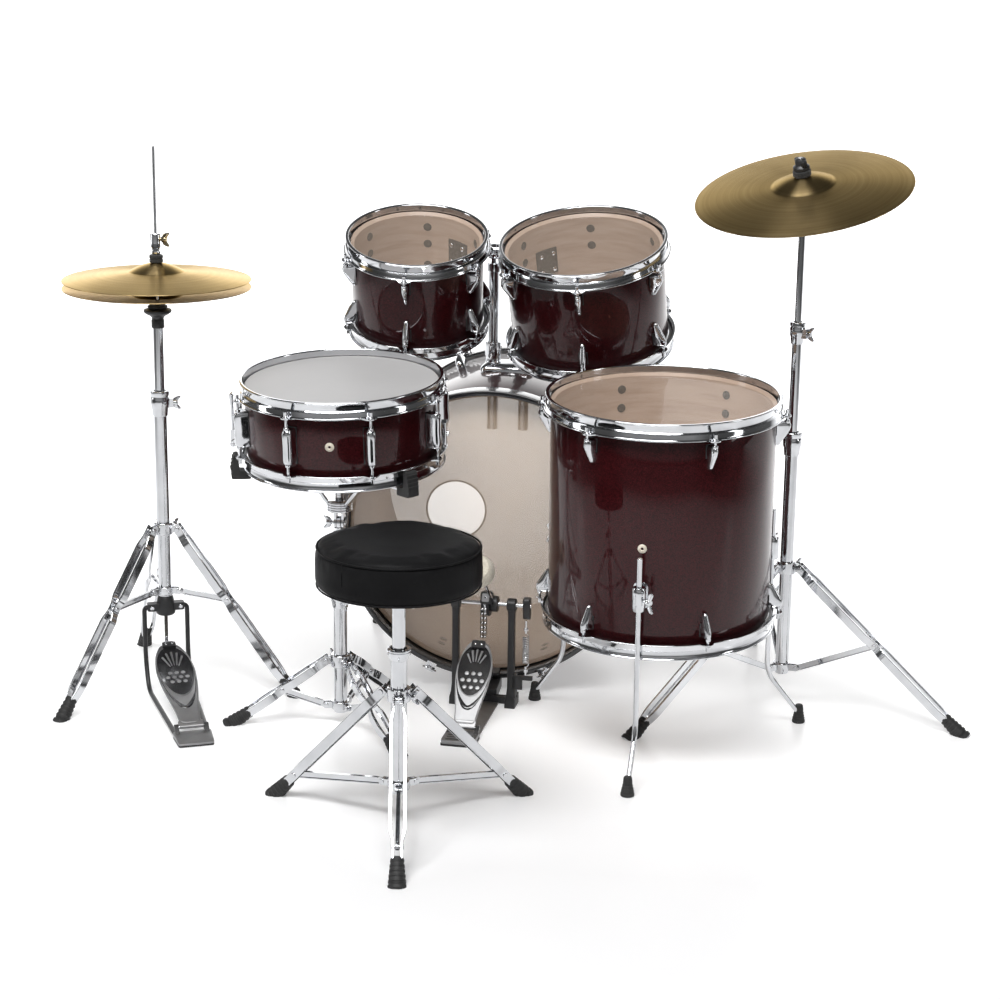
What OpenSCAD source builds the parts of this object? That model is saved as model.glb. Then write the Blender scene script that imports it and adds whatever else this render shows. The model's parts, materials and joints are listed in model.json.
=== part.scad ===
// Five-piece acoustic drum kit with hi-hat, crash cymbal, pedal and throne.
// Millimetres, +Z up. The player sits on the -Y side and the audience is on the +Y side.
// Places on the floor are measured from the bass drum's axis at its player-side hoop.

/* [Layout] */
// Middle of the kit's footprint, which is the origin
footprint_middle = [65.69, -234.66]; // [-500:0.01:500]
// Hi-hat stand's axis on the floor
hihat_at = [-629, -77]; // [-900:1:900]
// Direction that the hi-hat's footboard points from its tube
hihat_turn = -65.6; // [-90:0.1:-40]
// Snare stand's axis on the floor
snare_stand_at = [-250, -221]; // [-900:1:900]
// Crash stand's axis on the floor
crash_at = [579, 20]; // [-900:1:900]
// Throne's axis on the floor
throne_at = [-58, -677]; // [-900:1:900]
// Point on the floor below the bass pedal's axle
pedal_at = [4, -80]; // [-900:1:900]
// Turn of the bass pedal about its axle's middle
pedal_turn = -4; // [-8:0.5:8]

/* [Bass drum] */
// Shell diameter
bass_d = 558.8; // [500:0.1:600]
// Shell length
bass_length = 406.4; // [350:0.1:450]
// Height of the axis above the floor
bass_axis_z = 316; // [300:1:340]
// Wood hoop width along the drum
bass_hoop_w = 38; // [30:1:42]
// Diameter of the port in the audience-side head
port_d = 124; // [100:1:140]
// Middle of the port, across and up from the drum's axis
port_at = [-128, -68]; // [-140:1:140]

/* [Hanging toms] */
// Small tom diameter
small_tom_d = 254; // [240:0.1:260]
// Small tom shell depth
small_tom_depth = 177.8; // [160:0.1:200]
// Middle of the small tom's top rim
small_tom_at = [-150, 44, 899]; // [-300:1:1000]
// Small tom's tilt towards the player and to the right
small_tom_tilt = [17.5, 2]; // [-10:0.1:25]
// Medium tom diameter
medium_tom_d = 304.8; // [290:0.1:310]
// Medium tom shell depth
medium_tom_depth = 203.2; // [180:0.1:220]
// Middle of the medium tom's top rim
medium_tom_at = [165, 88, 892]; // [-300:1:1000]
// Medium tom's tilt towards the player and to the right
medium_tom_tilt = [16.3, -3.8]; // [-10:0.1:25]
// Spacing of the two mount posts
post_spacing = 63; // [60:1:70]
// Middle of the tom mount on the bass drum
mount_at = [1.5, 270]; // [-10:0.5:290]
// Height of the tilter's hinge
tilter_z = 835; // [820:1:850]

/* [Floor tom] */
// Floor tom diameter
floor_tom_d = 406.4; // [400:0.1:410]
// Floor tom shell depth
floor_tom_depth = 406.4; // [380:0.1:430]
// Middle of the floor tom's top rim
floor_tom_at = [346, -232, 668]; // [-500:1:700]
// Floor tom's tilt towards the player and to the right
floor_tom_tilt = [2.5, 0]; // [0:0.1:5]
// Directions of the three legs
floor_tom_leg_turns = [-95.4, 24.6, 146]; // [-180:0.1:180]
// Radius that the feet stand on
floor_tom_foot_r = 296; // [280:1:310]

/* [Snare drum] */
// Snare drum diameter
snare_d = 355.6; // [350:0.1:360]
// Snare shell depth
snare_depth = 139.7; // [120:0.1:150]
// Middle of the snare's top rim
snare_at = [-244, -226, 677]; // [-500:1:700]
// Snare's tilt towards the player and to the right
snare_tilt = [4, -1]; // [-10:0.1:15]
// Directions of the three basket arms
basket_turns = [-163, -43, 77]; // [-180:1:180]

/* [Cymbals] */
// Hi-hat cymbal diameter
hihat_d = 356; // [340:1:360]
// Height of the hi-hat's upper edge
hihat_edge_z = 815; // [800:1:830]
// Gap between the two hi-hat edges
hihat_gap = 16; // [11:0.5:18]
// Crash cymbal diameter
crash_d = 406; // [400:1:410]
// Height of the middle of the crash cymbal's edge
crash_edge_z = 1003; // [990:1:1010]
// Crash cymbal's lean from level
crash_lean = 17.3; // [5:0.1:20]
// Direction that the crash cymbal leans to
crash_lean_turn = -119.6; // [-180:0.1:180]

/* [Throne] */
// Seat radius
seat_r = 144; // [130:1:150]
// Seat underside height
seat_bottom_z = 422; // [420:1:440]
// Seat thickness
seat_h = 82; // [50:1:90]

/* [Hidden] */
$fn = 72;

chrome = [0.82, 0.83, 0.85];
black = [0.09, 0.09, 0.1];
wine = [0.26, 0.08, 0.09];
bronze = [0.72, 0.62, 0.42];
film = [0.86, 0.82, 0.76];
felt_cream = [0.88, 0.84, 0.74];

fit = 0.05;             // running clearance of a pin or tube, on the radius
gap = 0.3;              // clearance between curved faces that only pass each other

bass_r = bass_d / 2;
bass_edge_y = 29;       // the bearing edge lies this far inside the hoop's face
bass_hoop_inner_r = bass_r + 2.1;
bass_hoop_outer_r = bass_hoop_inner_r + 10;
bass_rod_r = bass_hoop_outer_r + 6.5;
wall = 7;
flesh_r = 6;            // the head's metal ring reaches this far outside the shell
rim_z = 13;             // the hoop's rim stands this far above the bearing edge
rod_out = 18;           // tension rods run this far outside the shell
lug_top = 27;
lug_h = 45;

post_r = 11.1;
tilter_pin_r = 4;
small_arm_turn = 57;
medium_arm_turn = 128;
small_post_x = mount_at[0] - post_spacing / 2;
medium_post_x = mount_at[0] + post_spacing / 2;

leg_gap = 6.2;          // half the space between a leg's two strips at its joints
leg_bow = 12;           // and halfway between the joints
strip = 2.5;
leg_w = 16;
ear = 5.9;              // half the width of a collar's ear
fork_in = 3.8;          // a hub's fork plates lie between these half widths
fork_out = 5.6;
hinge_pin_r = 3;

floor_leg_r = 4.75;
floor_leg_out = floor_tom_d / 2 + 22;
floor_leg_kink_z = 105;

axle_z = 207;
board_hinge = [-174, 16];
board_toe = [-36, 138];
board_w = 70;
chain_x = 6;

//
// Shared shapes
//

module on_floor(at) translate([at[0] - footprint_middle[0], at[1] - footprint_middle[1], 0]) children();

// The frame of a drum whose top rim is at a place, tilted towards the player and to the right.
// Inside it, z = 0 is the top bearing edge.
module in_drum(at, tilt) {
    on_floor(at) translate([0, 0, at[2]]) rotate([tilt[0], tilt[1], 0]) translate([0, 0, -rim_z]) children();
}

// The same placing as in_drum, for one point
function in_drum_x(p, tilt) = [p[0], p[1] * cos(tilt[0]) - p[2] * sin(tilt[0]),
    p[1] * sin(tilt[0]) + p[2] * cos(tilt[0])];
function in_drum_y(p, tilt) = [p[0] * cos(tilt[1]) + p[2] * sin(tilt[1]), p[1],
    p[2] * cos(tilt[1]) - p[0] * sin(tilt[1])];
function drum_point(at, tilt, p) = at + in_drum_y(in_drum_x([p[0], p[1], p[2] - rim_z], tilt), tilt);
function polar(r, a, z) = [r * cos(a), r * sin(a), z];

module around(count, first) for (i = [0 : count - 1]) rotate([0, 0, first + i * 360 / count]) children();

module rod_between(a, b, r) {
    v = b - a;
    translate(a) rotate([0, acos(v[2] / norm(v)), atan2(v[1], v[0])]) cylinder(r = r, h = norm(v));
}

module tube(outer_r, inner_r, from_z, to_z) {
    difference() {
        translate([0, 0, from_z]) cylinder(r = outer_r, h = to_z - from_z);
        translate([0, 0, from_z - 1]) cylinder(r = inner_r, h = to_z - from_z + 2);
    }
}

// Pin along Y through the point [x, z]
module pin_y(at, r, from_y, to_y) {
    translate([at[0], from_y, at[1]]) rotate([-90, 0, 0]) cylinder(r = r, h = to_y - from_y);
}

// Flat bar with round ends in the XZ plane, from [x, z] to [x, z]
module link(a, b, width, from_y, to_y) {
    span = norm(b - a);
    translate([a[0], from_y, a[1]]) rotate([0, -atan2(b[1] - a[1], b[0] - a[0]), 0]) {
        translate([0, 0, -width / 2]) cube([span, to_y - from_y, width]);
        for (x = [0, span]) translate([x, 0, 0]) rotate([-90, 0, 0]) cylinder(d = width, h = to_y - from_y);
    }
}

// Wing bolt along +X whose end stands at a distance from the axis
module wing_bolt(from_x, reach, span) {
    translate([from_x, 0, 0]) rotate([0, 90, 0]) cylinder(r = 3.5, h = reach);
    translate([from_x + reach - 4, -2, -span / 2]) cube([10, 4, span]);
}

// Upright tube with a height clamp at its top that guides the next tube
module clamped_tube(outer_r, inner_r, from_z, to_z, clamp_h, guide_r, bolt_turn) {
    difference() {
        union() {
            translate([0, 0, from_z]) cylinder(r = outer_r, h = to_z - from_z);
            translate([0, 0, to_z - clamp_h]) cylinder(r = outer_r + 4.5, h = clamp_h);
            rotate([0, 0, bolt_turn]) translate([0, 0, to_z - clamp_h / 2]) wing_bolt(outer_r + 1, 19, 26);
        }
        translate([0, 0, from_z - 1]) cylinder(r = inner_r, h = to_z - from_z - clamp_h / 2);
        translate([0, 0, from_z - 1]) cylinder(r = guide_r + fit, h = to_z - from_z + 2);
    }
}

//
// Folding tripods: a sliding collar, a fixed hub, three legs and three struts
//

module tripod_collar(tube_r, z, hinge_r, first) {
    difference() {
        union() {
            translate([0, 0, z - 12]) cylinder(r = tube_r + 6, h = 24);
            around(3, first) link([tube_r, z], [hinge_r, z], 14, -ear, ear);
            rotate([0, 0, first + 60]) translate([0, 0, z]) wing_bolt(tube_r + 3, 16, 24);
        }
        translate([0, 0, z - 13]) cylinder(r = tube_r + fit, h = 26);
        around(3, first) pin_y([hinge_r, z], hinge_pin_r + fit, -ear - 1, ear + 1);
    }
}

module hub_ears(tube_r, inner_r, z, hinge_r, first) {
    difference() {
        union() {
            translate([0, 0, z - 8]) cylinder(r = tube_r + 5, h = 16);
            around(3, first) {
                link([tube_r, z], [hinge_r, z], 12, fork_in, fork_out);
                link([tube_r, z], [hinge_r, z], 12, -fork_out, -fork_in);
            }
        }
        translate([0, 0, z - 9]) cylinder(r = inner_r, h = 18);
        around(3, first) pin_y([hinge_r, z], hinge_pin_r + fit, -fork_out - 1, fork_out + 1);
    }
}

// Strip that stands off by leg_gap at its joints and bows out between them. Where the strut is
// pinned close to the foot, there is only the upper bow.
module leg_strip(pinch, end) {
    upper = [[-8, leg_gap], [16, leg_gap], [34, leg_bow], [pinch - 24, leg_bow], [pinch - 9, leg_gap]];
    lower = end - pinch < 60 ? [[end, leg_gap]]
        : [[pinch + 9, leg_gap], [pinch + 24, leg_bow], [end - 22, leg_bow], [end, leg_gap]];
    inner = concat(upper, lower);
    outer = [for (i = [len(inner) - 1 : -1 : 0]) [inner[i][0], inner[i][1] + strip]];
    translate([0, 0, -leg_w / 2]) linear_extrude(height = leg_w) polygon(concat(inner, outer));
}

// Two strips from the collar's hinge to a rubber foot, drawn together where the strut is pinned
module tripod_leg(hinge, foot_r, share, turn) {
    length = norm([foot_r, 0] - hinge);
    drop = atan2(hinge[1], foot_r - hinge[0]);
    rotate([0, 0, turn]) difference() {
        translate([hinge[0], 0, hinge[1]]) rotate([0, drop, 0]) {
            leg_strip(length * share, length - 40);
            mirror([0, 1, 0]) leg_strip(length * share, length - 40);
            pin_y([0, 0], hinge_pin_r, -leg_gap - strip - 2, leg_gap + strip + 2);
            translate([length - 46, 0, 0]) rotate([0, 90, 0]) cylinder(r1 = 11, r2 = 16.5, h = 54);
        }
        translate([foot_r - 60, -30, -60]) cube([120, 60, 60]);
    }
}

// Point on the leg at a share of its length, where the strut meets it
function leg_point(hinge, foot_r, share) = hinge + ([foot_r, 0] - hinge) * share;

module tripod_strut(hub, end, turn) {
    rotate([0, 0, turn]) {
        link(hub, end, 10, -fork_in + gap, fork_in - gap);
        pin_y(hub, hinge_pin_r, -fork_out, fork_out);
    }
}

module tripod(tube_r, collar_z, hub_z, hinge_r, foot_r, strut_share, first) {
    tripod_collar(tube_r, collar_z, hinge_r, first);
    for (i = [0 : 2]) {
        tripod_leg([hinge_r, collar_z], foot_r, strut_share, first + i * 120);
        tripod_strut([hinge_r, hub_z], leg_point([hinge_r, collar_z], foot_r, strut_share), first + i * 120);
    }
}

//
// Drum pieces. z = 0 is the top bearing edge, and the shell hangs below it.
//

module drum_shell(r, depth) {
    rotate_extrude($fn = 120) polygon([
        [r, -1.5], [r - 1.5, 0], [r - wall, 1.5 - wall],
        [r - wall, wall - 1.5 - depth], [r - 1.5, -depth], [r, 1.5 - depth]
    ]);
}

// Film, collar and flesh ring
module drum_head(r) {
    rotate_extrude($fn = 120) polygon([
        [0, 0], [0, 0.4], [r + 1.2, 0.4], [r + 1.2, -6], [r + flesh_r, -6],
        [r + flesh_r, -11], [r + 0.4, -11], [r + 0.4, 0]
    ]);
}

// Triple-flanged steel hoop with ears for the tension rods
module drum_hoop(r, count, first) {
    difference() {
        union() {
            rotate_extrude($fn = 120) polygon([
                [r + 3, rim_z], [r + 10, rim_z], [r + 10, 10.6], [r + 5.4, 10.6], [r + 5.4, -3.6],
                [r + 10.4, -3.6], [r + 10.4, -15.4], [r + 14, -15.4], [r + 14, -17.8],
                [r + 8, -17.8], [r + 8, -6], [r + 3, -6]
            ]);
            around(count, first) translate([r + 9.5, -8, -17.4]) cube([16, 16, 1.7]);
        }
        around(count, first) translate([r + rod_out, 0, -20]) cylinder(r = 3.4, h = 8);
    }
}

module both_ends(depth) {
    children();
    translate([0, 0, -depth]) mirror([0, 0, 1]) children();
}

// Key rod with its washer, from the hoop's ear down to the lug
module tension_rod(r, to_z) {
    translate([r + rod_out, 0, 0]) {
        translate([0, 0, -15.4]) cylinder(r = 5.5, h = 1.5);
        translate([-3, -3, -13.9]) cube([6, 6, 9]);
        translate([0, 0, to_z]) cylinder(r = 2.7, h = -13.9 - to_z);
    }
}

// Small tapered lug at one end of a shell
module small_lug(r) {
    translate([r - 2, 0, -lug_top]) rotate([-90, 0, 0]) linear_extrude(height = 15, center = true)
        polygon([[0, 0], [25, 0], [25.5, 10], [19, 32], [8, lug_h], [0, lug_h]]);
    tension_rod(r, -lug_top);
}

module tom_lugs(r, depth, count, first) {
    difference() {
        around(count, first) both_ends(depth) small_lug(r);
        translate([0, 0, -depth]) cylinder(r = r, h = depth, $fn = 120);
    }
}

// Lathe-turned cymbal: bow and bell, with the edge plane at z = 0
bow_h = 17;
bell_h = 15;
cymbal_t = 1.3;
function cymbal_z(r, edge_r, bell_r) = bow_h * (1 - pow(r / edge_r, 2))
    + (r < bell_r ? bell_h * (1 - pow(r / bell_r, 2)) : 0);
module cymbal(edge_r, bell_r, hole_r) {
    steps = 18;
    top = [for (i = [0 : steps]) let (r = hole_r + (edge_r - hole_r) * i / steps)
        [r, cymbal_z(r, edge_r, bell_r)]];
    bottom = [for (i = [0 : steps]) let (r = edge_r - (edge_r - hole_r) * i / steps)
        [r, cymbal_z(r, edge_r, bell_r) - cymbal_t]];
    rotate_extrude($fn = 120) polygon(concat(top, bottom));
}

//
// Bass drum. Inside bass_place, +Z runs from the player's end to the audience's end.
//

module bass_place() on_floor([0, 0]) translate([0, 0, bass_axis_z]) rotate([-90, 0, 0]) children();

module bass_shell() {
    color(wine) difference() {
        bass_place() translate([0, 0, bass_edge_y + bass_length]) drum_shell(bass_r, bass_length);
        for (x = [small_post_x, medium_post_x]) on_floor([x, mount_at[1]])
            translate([0, 0, bass_axis_z]) cylinder(r = post_r + 1.5, h = bass_r + 10);
    }
}

module bass_hoop() {
    rotate_extrude($fn = 120) polygon([
        [bass_hoop_inner_r, 1], [bass_hoop_inner_r + 1, 0], [bass_hoop_outer_r - 2, 0],
        [bass_hoop_outer_r, 2], [bass_hoop_outer_r, bass_hoop_w - 2],
        [bass_hoop_outer_r - 2, bass_hoop_w], [bass_hoop_inner_r, bass_hoop_w]
    ]);
}

bass_total = 2 * bass_edge_y + bass_length;
module both_bass_ends() {
    children();
    translate([0, 0, bass_total]) mirror([0, 0, 1]) children();
}

module bass_hoops() color(black) bass_place() both_bass_ends() bass_hoop();

// Head on a bass drum end: the film lies on the bearing edge and its ring behind the wood hoop
module bass_head() {
    rotate_extrude($fn = 120) polygon([
        [0, bass_edge_y - 0.4], [bass_r + 1.2, bass_edge_y - 0.4], [bass_r + 1.2, bass_hoop_w],
        [bass_r + 8, bass_hoop_w], [bass_r + 8, bass_hoop_w + 6], [bass_r + 0.4, bass_hoop_w + 6],
        [bass_r + 0.4, bass_edge_y], [0, bass_edge_y]
    ]);
}

module bass_heads() {
    color(film) bass_place() {
        bass_head();
        difference() {
            translate([0, 0, bass_total]) mirror([0, 0, 1]) bass_head();
            translate([port_at[0], -port_at[1], bass_total - 60]) cylinder(d = port_d, h = 60);
        }
    }
}

// Claw over the hoop, tension rod with its T handle, and the lug that takes it
module claw_and_lug() {
    difference() {
        rotate([90, 0, 0]) linear_extrude(height = 20, center = true) polygon([
            [bass_hoop_inner_r + 3, -2.5], [bass_rod_r + 7, -2.5], [bass_rod_r + 7, 10],
            [bass_hoop_outer_r + 3, 26], [bass_hoop_outer_r + 0.4, 26],
            [bass_hoop_outer_r + 0.4, -gap], [bass_hoop_inner_r + 3, -gap]
        ]);
        translate([bass_rod_r, 0, -4]) cylinder(r = 3.3, h = 40);
    }
    translate([bass_rod_r, 0, -2.5]) mirror([0, 0, 1]) cylinder(r = 5.5, h = 2);
    translate([bass_rod_r, 0, -7]) rotate([90, 0, 0]) cylinder(r = 2.5, h = 30, center = true);
    translate([bass_rod_r, 0, -5]) cylinder(r = 2.9, h = 79);
    translate([bass_r - 3, -11, 74]) cube([30, 22, 46]);
}

spur_turn = 38;         // the spurs hang on the shell this far below level
spur_y = 335;
spur_pivot_r = bass_r + 27;
spur_hinge_turn = 22;   // the spur's hinge axis points this far above level
function spur_pivot(side) = [side * spur_pivot_r * cos(spur_turn), spur_y,
    bass_axis_z - spur_pivot_r * sin(spur_turn)];
spur_out = 0.42;
spur_forward = 0.46;

module spur_bracket(side) {
    pivot = spur_pivot(side);
    on_floor(pivot) translate([0, 0, pivot[2]]) rotate([0, side * (90 - spur_hinge_turn), 0])
        difference() {
            translate([0, 0, -38]) cylinder(r = 17, h = 29.5);
            translate([0, 0, -39]) cylinder(r = 5 + fit, h = 40);
        }
}

module bass_lugs() {
    color(chrome) difference() {
        union() {
            bass_place() both_bass_ends() around(8, 22.5) claw_and_lug();
            for (side = [-1, 1]) spur_bracket(side);
        }
        bass_place() cylinder(r = bass_r, h = bass_total, $fn = 120);
    }
}

// Folding leg at the audience end, with a pin that turns in the shell's bracket
module bass_spur(side) {
    pivot = spur_pivot(side);
    foot = pivot + [side * spur_out, spur_forward, -1] * (pivot[2] - 14);
    color(chrome) on_floor([0, 0]) difference() {
        union() {
            translate(pivot) rotate([0, side * (90 - spur_hinge_turn), 0]) {
                translate([0, 0, -8]) cylinder(r = 13, h = 16);
                translate([0, 0, -36]) cylinder(r = 5, h = 30);
            }
            rod_between(pivot, foot, 6.3);
            translate(foot) sphere(r = 6.3);
            translate([foot[0], foot[1], 0]) cylinder(r1 = 13, r2 = 9, h = 30);
        }
        translate([-500, 0, -50]) cube([1000, 900, 50]);
    }
}

module bass_spur_left() bass_spur(-1);
module bass_spur_right() bass_spur(1);

// Plate on the bass shell with a socket and a wing bolt for each post
mount_top_z = bass_axis_z + bass_r + 56;
module tom_mount() {
    plate_z = bass_axis_z + bass_r - 12;
    color(chrome) difference() {
        union() {
            on_floor(mount_at) translate([-56, -34, plate_z]) cube([112, 68, 28]);
            for (x = [small_post_x, medium_post_x]) on_floor([x, mount_at[1]]) {
                translate([0, 0, plate_z]) cylinder(r = 17, h = mount_top_z - plate_z);
                translate([0, 0, mount_top_z - 16]) rotate([0, 0, -90]) wing_bolt(14, 16, 24);
            }
        }
        bass_place() cylinder(r = bass_r, h = bass_total, $fn = 120);
        for (x = [small_post_x, medium_post_x]) on_floor([x, mount_at[1]])
            translate([0, 0, plate_z - 1]) cylinder(r = post_r + fit, h = 100);
    }
}

//
// Hanging toms: post, tilter and arm
//

module tom_post(x) {
    tongue = 5;
    color(chrome) on_floor([x, mount_at[1]]) difference() {
        union() {
            tube(post_r, post_r - 2, 470, tilter_z - 30);
            translate([0, 0, tilter_z - 40]) cylinder(r = post_r + 3, h = 18);
            translate([-tongue, -10, tilter_z - 24]) cube([2 * tongue, 20, 24]);
            translate([-tongue, 0, tilter_z]) rotate([0, 90, 0]) cylinder(r = 16, h = 2 * tongue);
        }
        translate([-20, 0, tilter_z]) rotate([0, 90, 0]) cylinder(r = tilter_pin_r + fit, h = 40);
    }
}

// Fork round the post's tongue, arm to the shell, and bracket on the shell
module tom_arm(x, at, tilt, r, depth, turn) {
    hinge = [x, mount_at[1], tilter_z];
    grip = drum_point(at, tilt, polar(r + 8, turn, -depth * 0.42));
    arm = grip - hinge;
    reach = 26;
    root = hinge + arm * reach / norm(arm);
    on_floor([0, 0]) {
        translate(hinge) {
            for (side = [-1, 1]) translate([side * 8, 0, 0]) rotate([0, 90, 0])
                cylinder(r = 15, h = 5.4, center = true);
            translate([-13, 0, 0]) rotate([0, 90, 0]) cylinder(r = tilter_pin_r, h = 26);
        }
        difference() {
            rod_between(hinge, root, 10.7);
            translate(hinge) translate([-5.3, -40, -40]) cube([10.6, 80, 80]);
        }
        rod_between(root, root + arm * 8 / norm(arm), 10.7);
        rod_between(root, grip, 6.3);
    }
}

module tom_hardware(x, at, tilt, r, depth, turn) {
    color(chrome) {
        difference() {
            union() {
                tom_arm(x, at, tilt, r, depth, turn);
                in_drum(at, tilt) rotate([0, 0, turn]) translate([r - 4, -22, -depth * 0.42 - 26])
                    cube([18, 44, 52]);
            }
            in_drum(at, tilt) translate([0, 0, -depth]) cylinder(r = r, h = depth, $fn = 120);
        }
        in_drum(at, tilt) tom_lugs(r, depth, 6, -90);
    }
}

module tom_shell(at, tilt, r, depth) color(wine) in_drum(at, tilt) drum_shell(r, depth);
module tom_hoops(at, tilt, r, depth, count, first) {
    color(chrome) in_drum(at, tilt) both_ends(depth) drum_hoop(r, count, first);
}
module tom_heads(at, tilt, r, depth) color(film) in_drum(at, tilt) both_ends(depth) drum_head(r);

module small_tom_post() tom_post(small_post_x);
module small_tom_shell() tom_shell(small_tom_at, small_tom_tilt, small_tom_d / 2, small_tom_depth);
module small_tom_hoops() tom_hoops(small_tom_at, small_tom_tilt, small_tom_d / 2, small_tom_depth, 6, -90);
module small_tom_heads() tom_heads(small_tom_at, small_tom_tilt, small_tom_d / 2, small_tom_depth);
module small_tom_lugs() {
    tom_hardware(small_post_x, small_tom_at, small_tom_tilt, small_tom_d / 2, small_tom_depth,
        small_arm_turn);
}

module medium_tom_post() tom_post(medium_post_x);
module medium_tom_shell() tom_shell(medium_tom_at, medium_tom_tilt, medium_tom_d / 2, medium_tom_depth);
module medium_tom_hoops() {
    tom_hoops(medium_tom_at, medium_tom_tilt, medium_tom_d / 2, medium_tom_depth, 6, -90);
}
module medium_tom_heads() tom_heads(medium_tom_at, medium_tom_tilt, medium_tom_d / 2, medium_tom_depth);
module medium_tom_lugs() {
    tom_hardware(medium_post_x, medium_tom_at, medium_tom_tilt, medium_tom_d / 2, medium_tom_depth,
        medium_arm_turn);
}

//
// Floor tom
//

floor_tom_r = floor_tom_d / 2;
bracket_z = -300;       // the leg brackets' middle below the top bearing edge
// The drum's axis meets the floor here
floor_tom_stand_at = [floor_tom_at[0], floor_tom_at[1] + floor_tom_at[2] * tan(floor_tom_tilt[0]), 0];

module floor_tom_shell() {
    color(wine) difference() {
        tom_shell(floor_tom_at, floor_tom_tilt, floor_tom_r, floor_tom_depth);
        in_drum(floor_tom_at, floor_tom_tilt) rotate([0, 0, floor_tom_leg_turns[0]])
            translate([floor_tom_r - 20, 0, -215]) rotate([0, 90, 0]) cylinder(r = 5, h = 40);
    }
}
module floor_tom_hoops() tom_hoops(floor_tom_at, floor_tom_tilt, floor_tom_r, floor_tom_depth, 6, -63);
module floor_tom_heads() tom_heads(floor_tom_at, floor_tom_tilt, floor_tom_r, floor_tom_depth);

module leg_bracket() {
    translate([0, 0, bracket_z]) {
        translate([floor_tom_r - 4, -11, -15]) cube([26, 22, 30]);
        translate([floor_leg_out, 0, -23]) cylinder(r = 12, h = 46);
        translate([floor_leg_out, 0, 0]) rotate([0, 0, 45]) wing_bolt(9, 16, 24);
    }
}

module floor_tom_lugs() {
    color(chrome) in_drum(floor_tom_at, floor_tom_tilt) {
        tom_lugs(floor_tom_r, floor_tom_depth, 6, -63);
        difference() {
            for (turn = floor_tom_leg_turns) rotate([0, 0, turn]) leg_bracket();
            translate([0, 0, -floor_tom_depth]) cylinder(r = floor_tom_r, h = floor_tom_depth, $fn = 120);
            for (turn = floor_tom_leg_turns) rotate([0, 0, turn])
                translate([floor_leg_out, 0, bracket_z - 30]) cylinder(r = floor_leg_r + fit, h = 60);
        }
    }
}

// Bent rod with a rubber foot
module floor_tom_leg(turn) {
    // the kink's depth below the bearing edge puts it at its height above the floor
    top = drum_point(floor_tom_at, floor_tom_tilt, polar(floor_leg_out, turn, bracket_z + 75));
    kink = drum_point(floor_tom_at, floor_tom_tilt,
        polar(floor_leg_out, turn, floor_leg_kink_z - floor_tom_at[2] + rim_z));
    foot = floor_tom_stand_at + polar(floor_tom_foot_r, turn, 20);
    color(chrome) on_floor([0, 0]) {
        rod_between(kink, top, floor_leg_r);
        translate(kink) sphere(r = floor_leg_r + 0.5, $fn = 48);
        rod_between(kink, foot, floor_leg_r);
        translate([foot[0], foot[1], 0]) cylinder(r1 = 12.5, r2 = 7.5, h = 36);
    }
}

module floor_tom_leg_1() floor_tom_leg(floor_tom_leg_turns[0]);
module floor_tom_leg_2() floor_tom_leg(floor_tom_leg_turns[1]);
module floor_tom_leg_3() floor_tom_leg(floor_tom_leg_turns[2]);

//
// Snare drum and its stand
//

snare_r = snare_d / 2;
snare_lug_first = -109;
throwoff_turn = -176.5;
lever_pivot = [snare_r + 27, -118];
snare_mid = -snare_depth / 2;

module snare_shell() {
    color(wine) difference() {
        tom_shell(snare_at, snare_tilt, snare_r, snare_depth);
        in_drum(snare_at, snare_tilt) rotate([0, 0, snare_lug_first + 22.5])
            translate([snare_r - 20, 0, snare_mid]) rotate([0, 90, 0]) cylinder(r = 5, h = 40);
    }
}
module snare_hoops() tom_hoops(snare_at, snare_tilt, snare_r, snare_depth, 8, snare_lug_first);
module snare_heads() tom_heads(snare_at, snare_tilt, snare_r, snare_depth);

module snare_lug() {
    both_ends(snare_depth) tension_rod(snare_r, snare_mid + 33);
    translate([snare_r - 2, 0, snare_mid]) rotate([90, 0, 0]) linear_extrude(height = 17, center = true)
        polygon([[0, -33], [24, -33], [26, -24], [26, 24], [24, 33], [0, 33]]);
}

module snare_lugs() {
    color(chrome) in_drum(snare_at, snare_tilt) difference() {
        union() {
            around(8, snare_lug_first) snare_lug();
            rotate([0, 0, throwoff_turn]) {
                translate([snare_r - 4, -13, -118]) cube([23.4, 26, 68]);
                translate([snare_r + 12, 0, -52]) cylinder(r = 3, h = 16);
                translate([snare_r + 11, 0, -40]) cylinder(r = 8, h = 9);
            }
            rotate([0, 0, throwoff_turn + 180]) translate([snare_r - 4, -13, -118]) cube([19, 26, 44]);
        }
        translate([0, 0, -snare_depth]) cylinder(r = snare_r, h = snare_depth, $fn = 120);
        rotate([0, 0, throwoff_turn]) pin_y(lever_pivot, hinge_pin_r + fit, -20, 20);
    }
    color(chrome) in_drum(snare_at, snare_tilt) rotate([0, 0, throwoff_turn]) difference() {
        for (side = [-1, 1]) link([snare_r + 15, -111], lever_pivot, 12, side * 10 - 2, side * 10 + 2);
        pin_y(lever_pivot, hinge_pin_r + fit, -20, 20);
    }
}

// Lever that lets the wires drop, on its pin
module snare_throwoff() {
    color(chrome) in_drum(snare_at, snare_tilt) rotate([0, 0, throwoff_turn]) {
        pin_y(lever_pivot, hinge_pin_r, -14, 14);
        link(lever_pivot, [snare_r + 27, -34], 7, -7, 7);
        translate([snare_r + 23.5, -9, -34]) cube([7, 18, 12]);
    }
}

// Twenty wires between two end plates, under the lower head
module snare_wires() {
    wires = 20;
    wire_z = -snare_depth - 2.2;
    color(chrome) in_drum(snare_at, snare_tilt) rotate([0, 0, throwoff_turn]) {
        for (side = [-1, 1]) translate([side * 150 - 9, -28, wire_z - 1]) cube([18, 56, 1.6]);
        for (i = [0 : wires - 1]) translate([-142, (i - (wires - 1) / 2) * 2.6, wire_z - 0.2])
            rotate([0, 90, 0]) cylinder(r = 0.8, h = 284, $fn = 16);
    }
}

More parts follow.
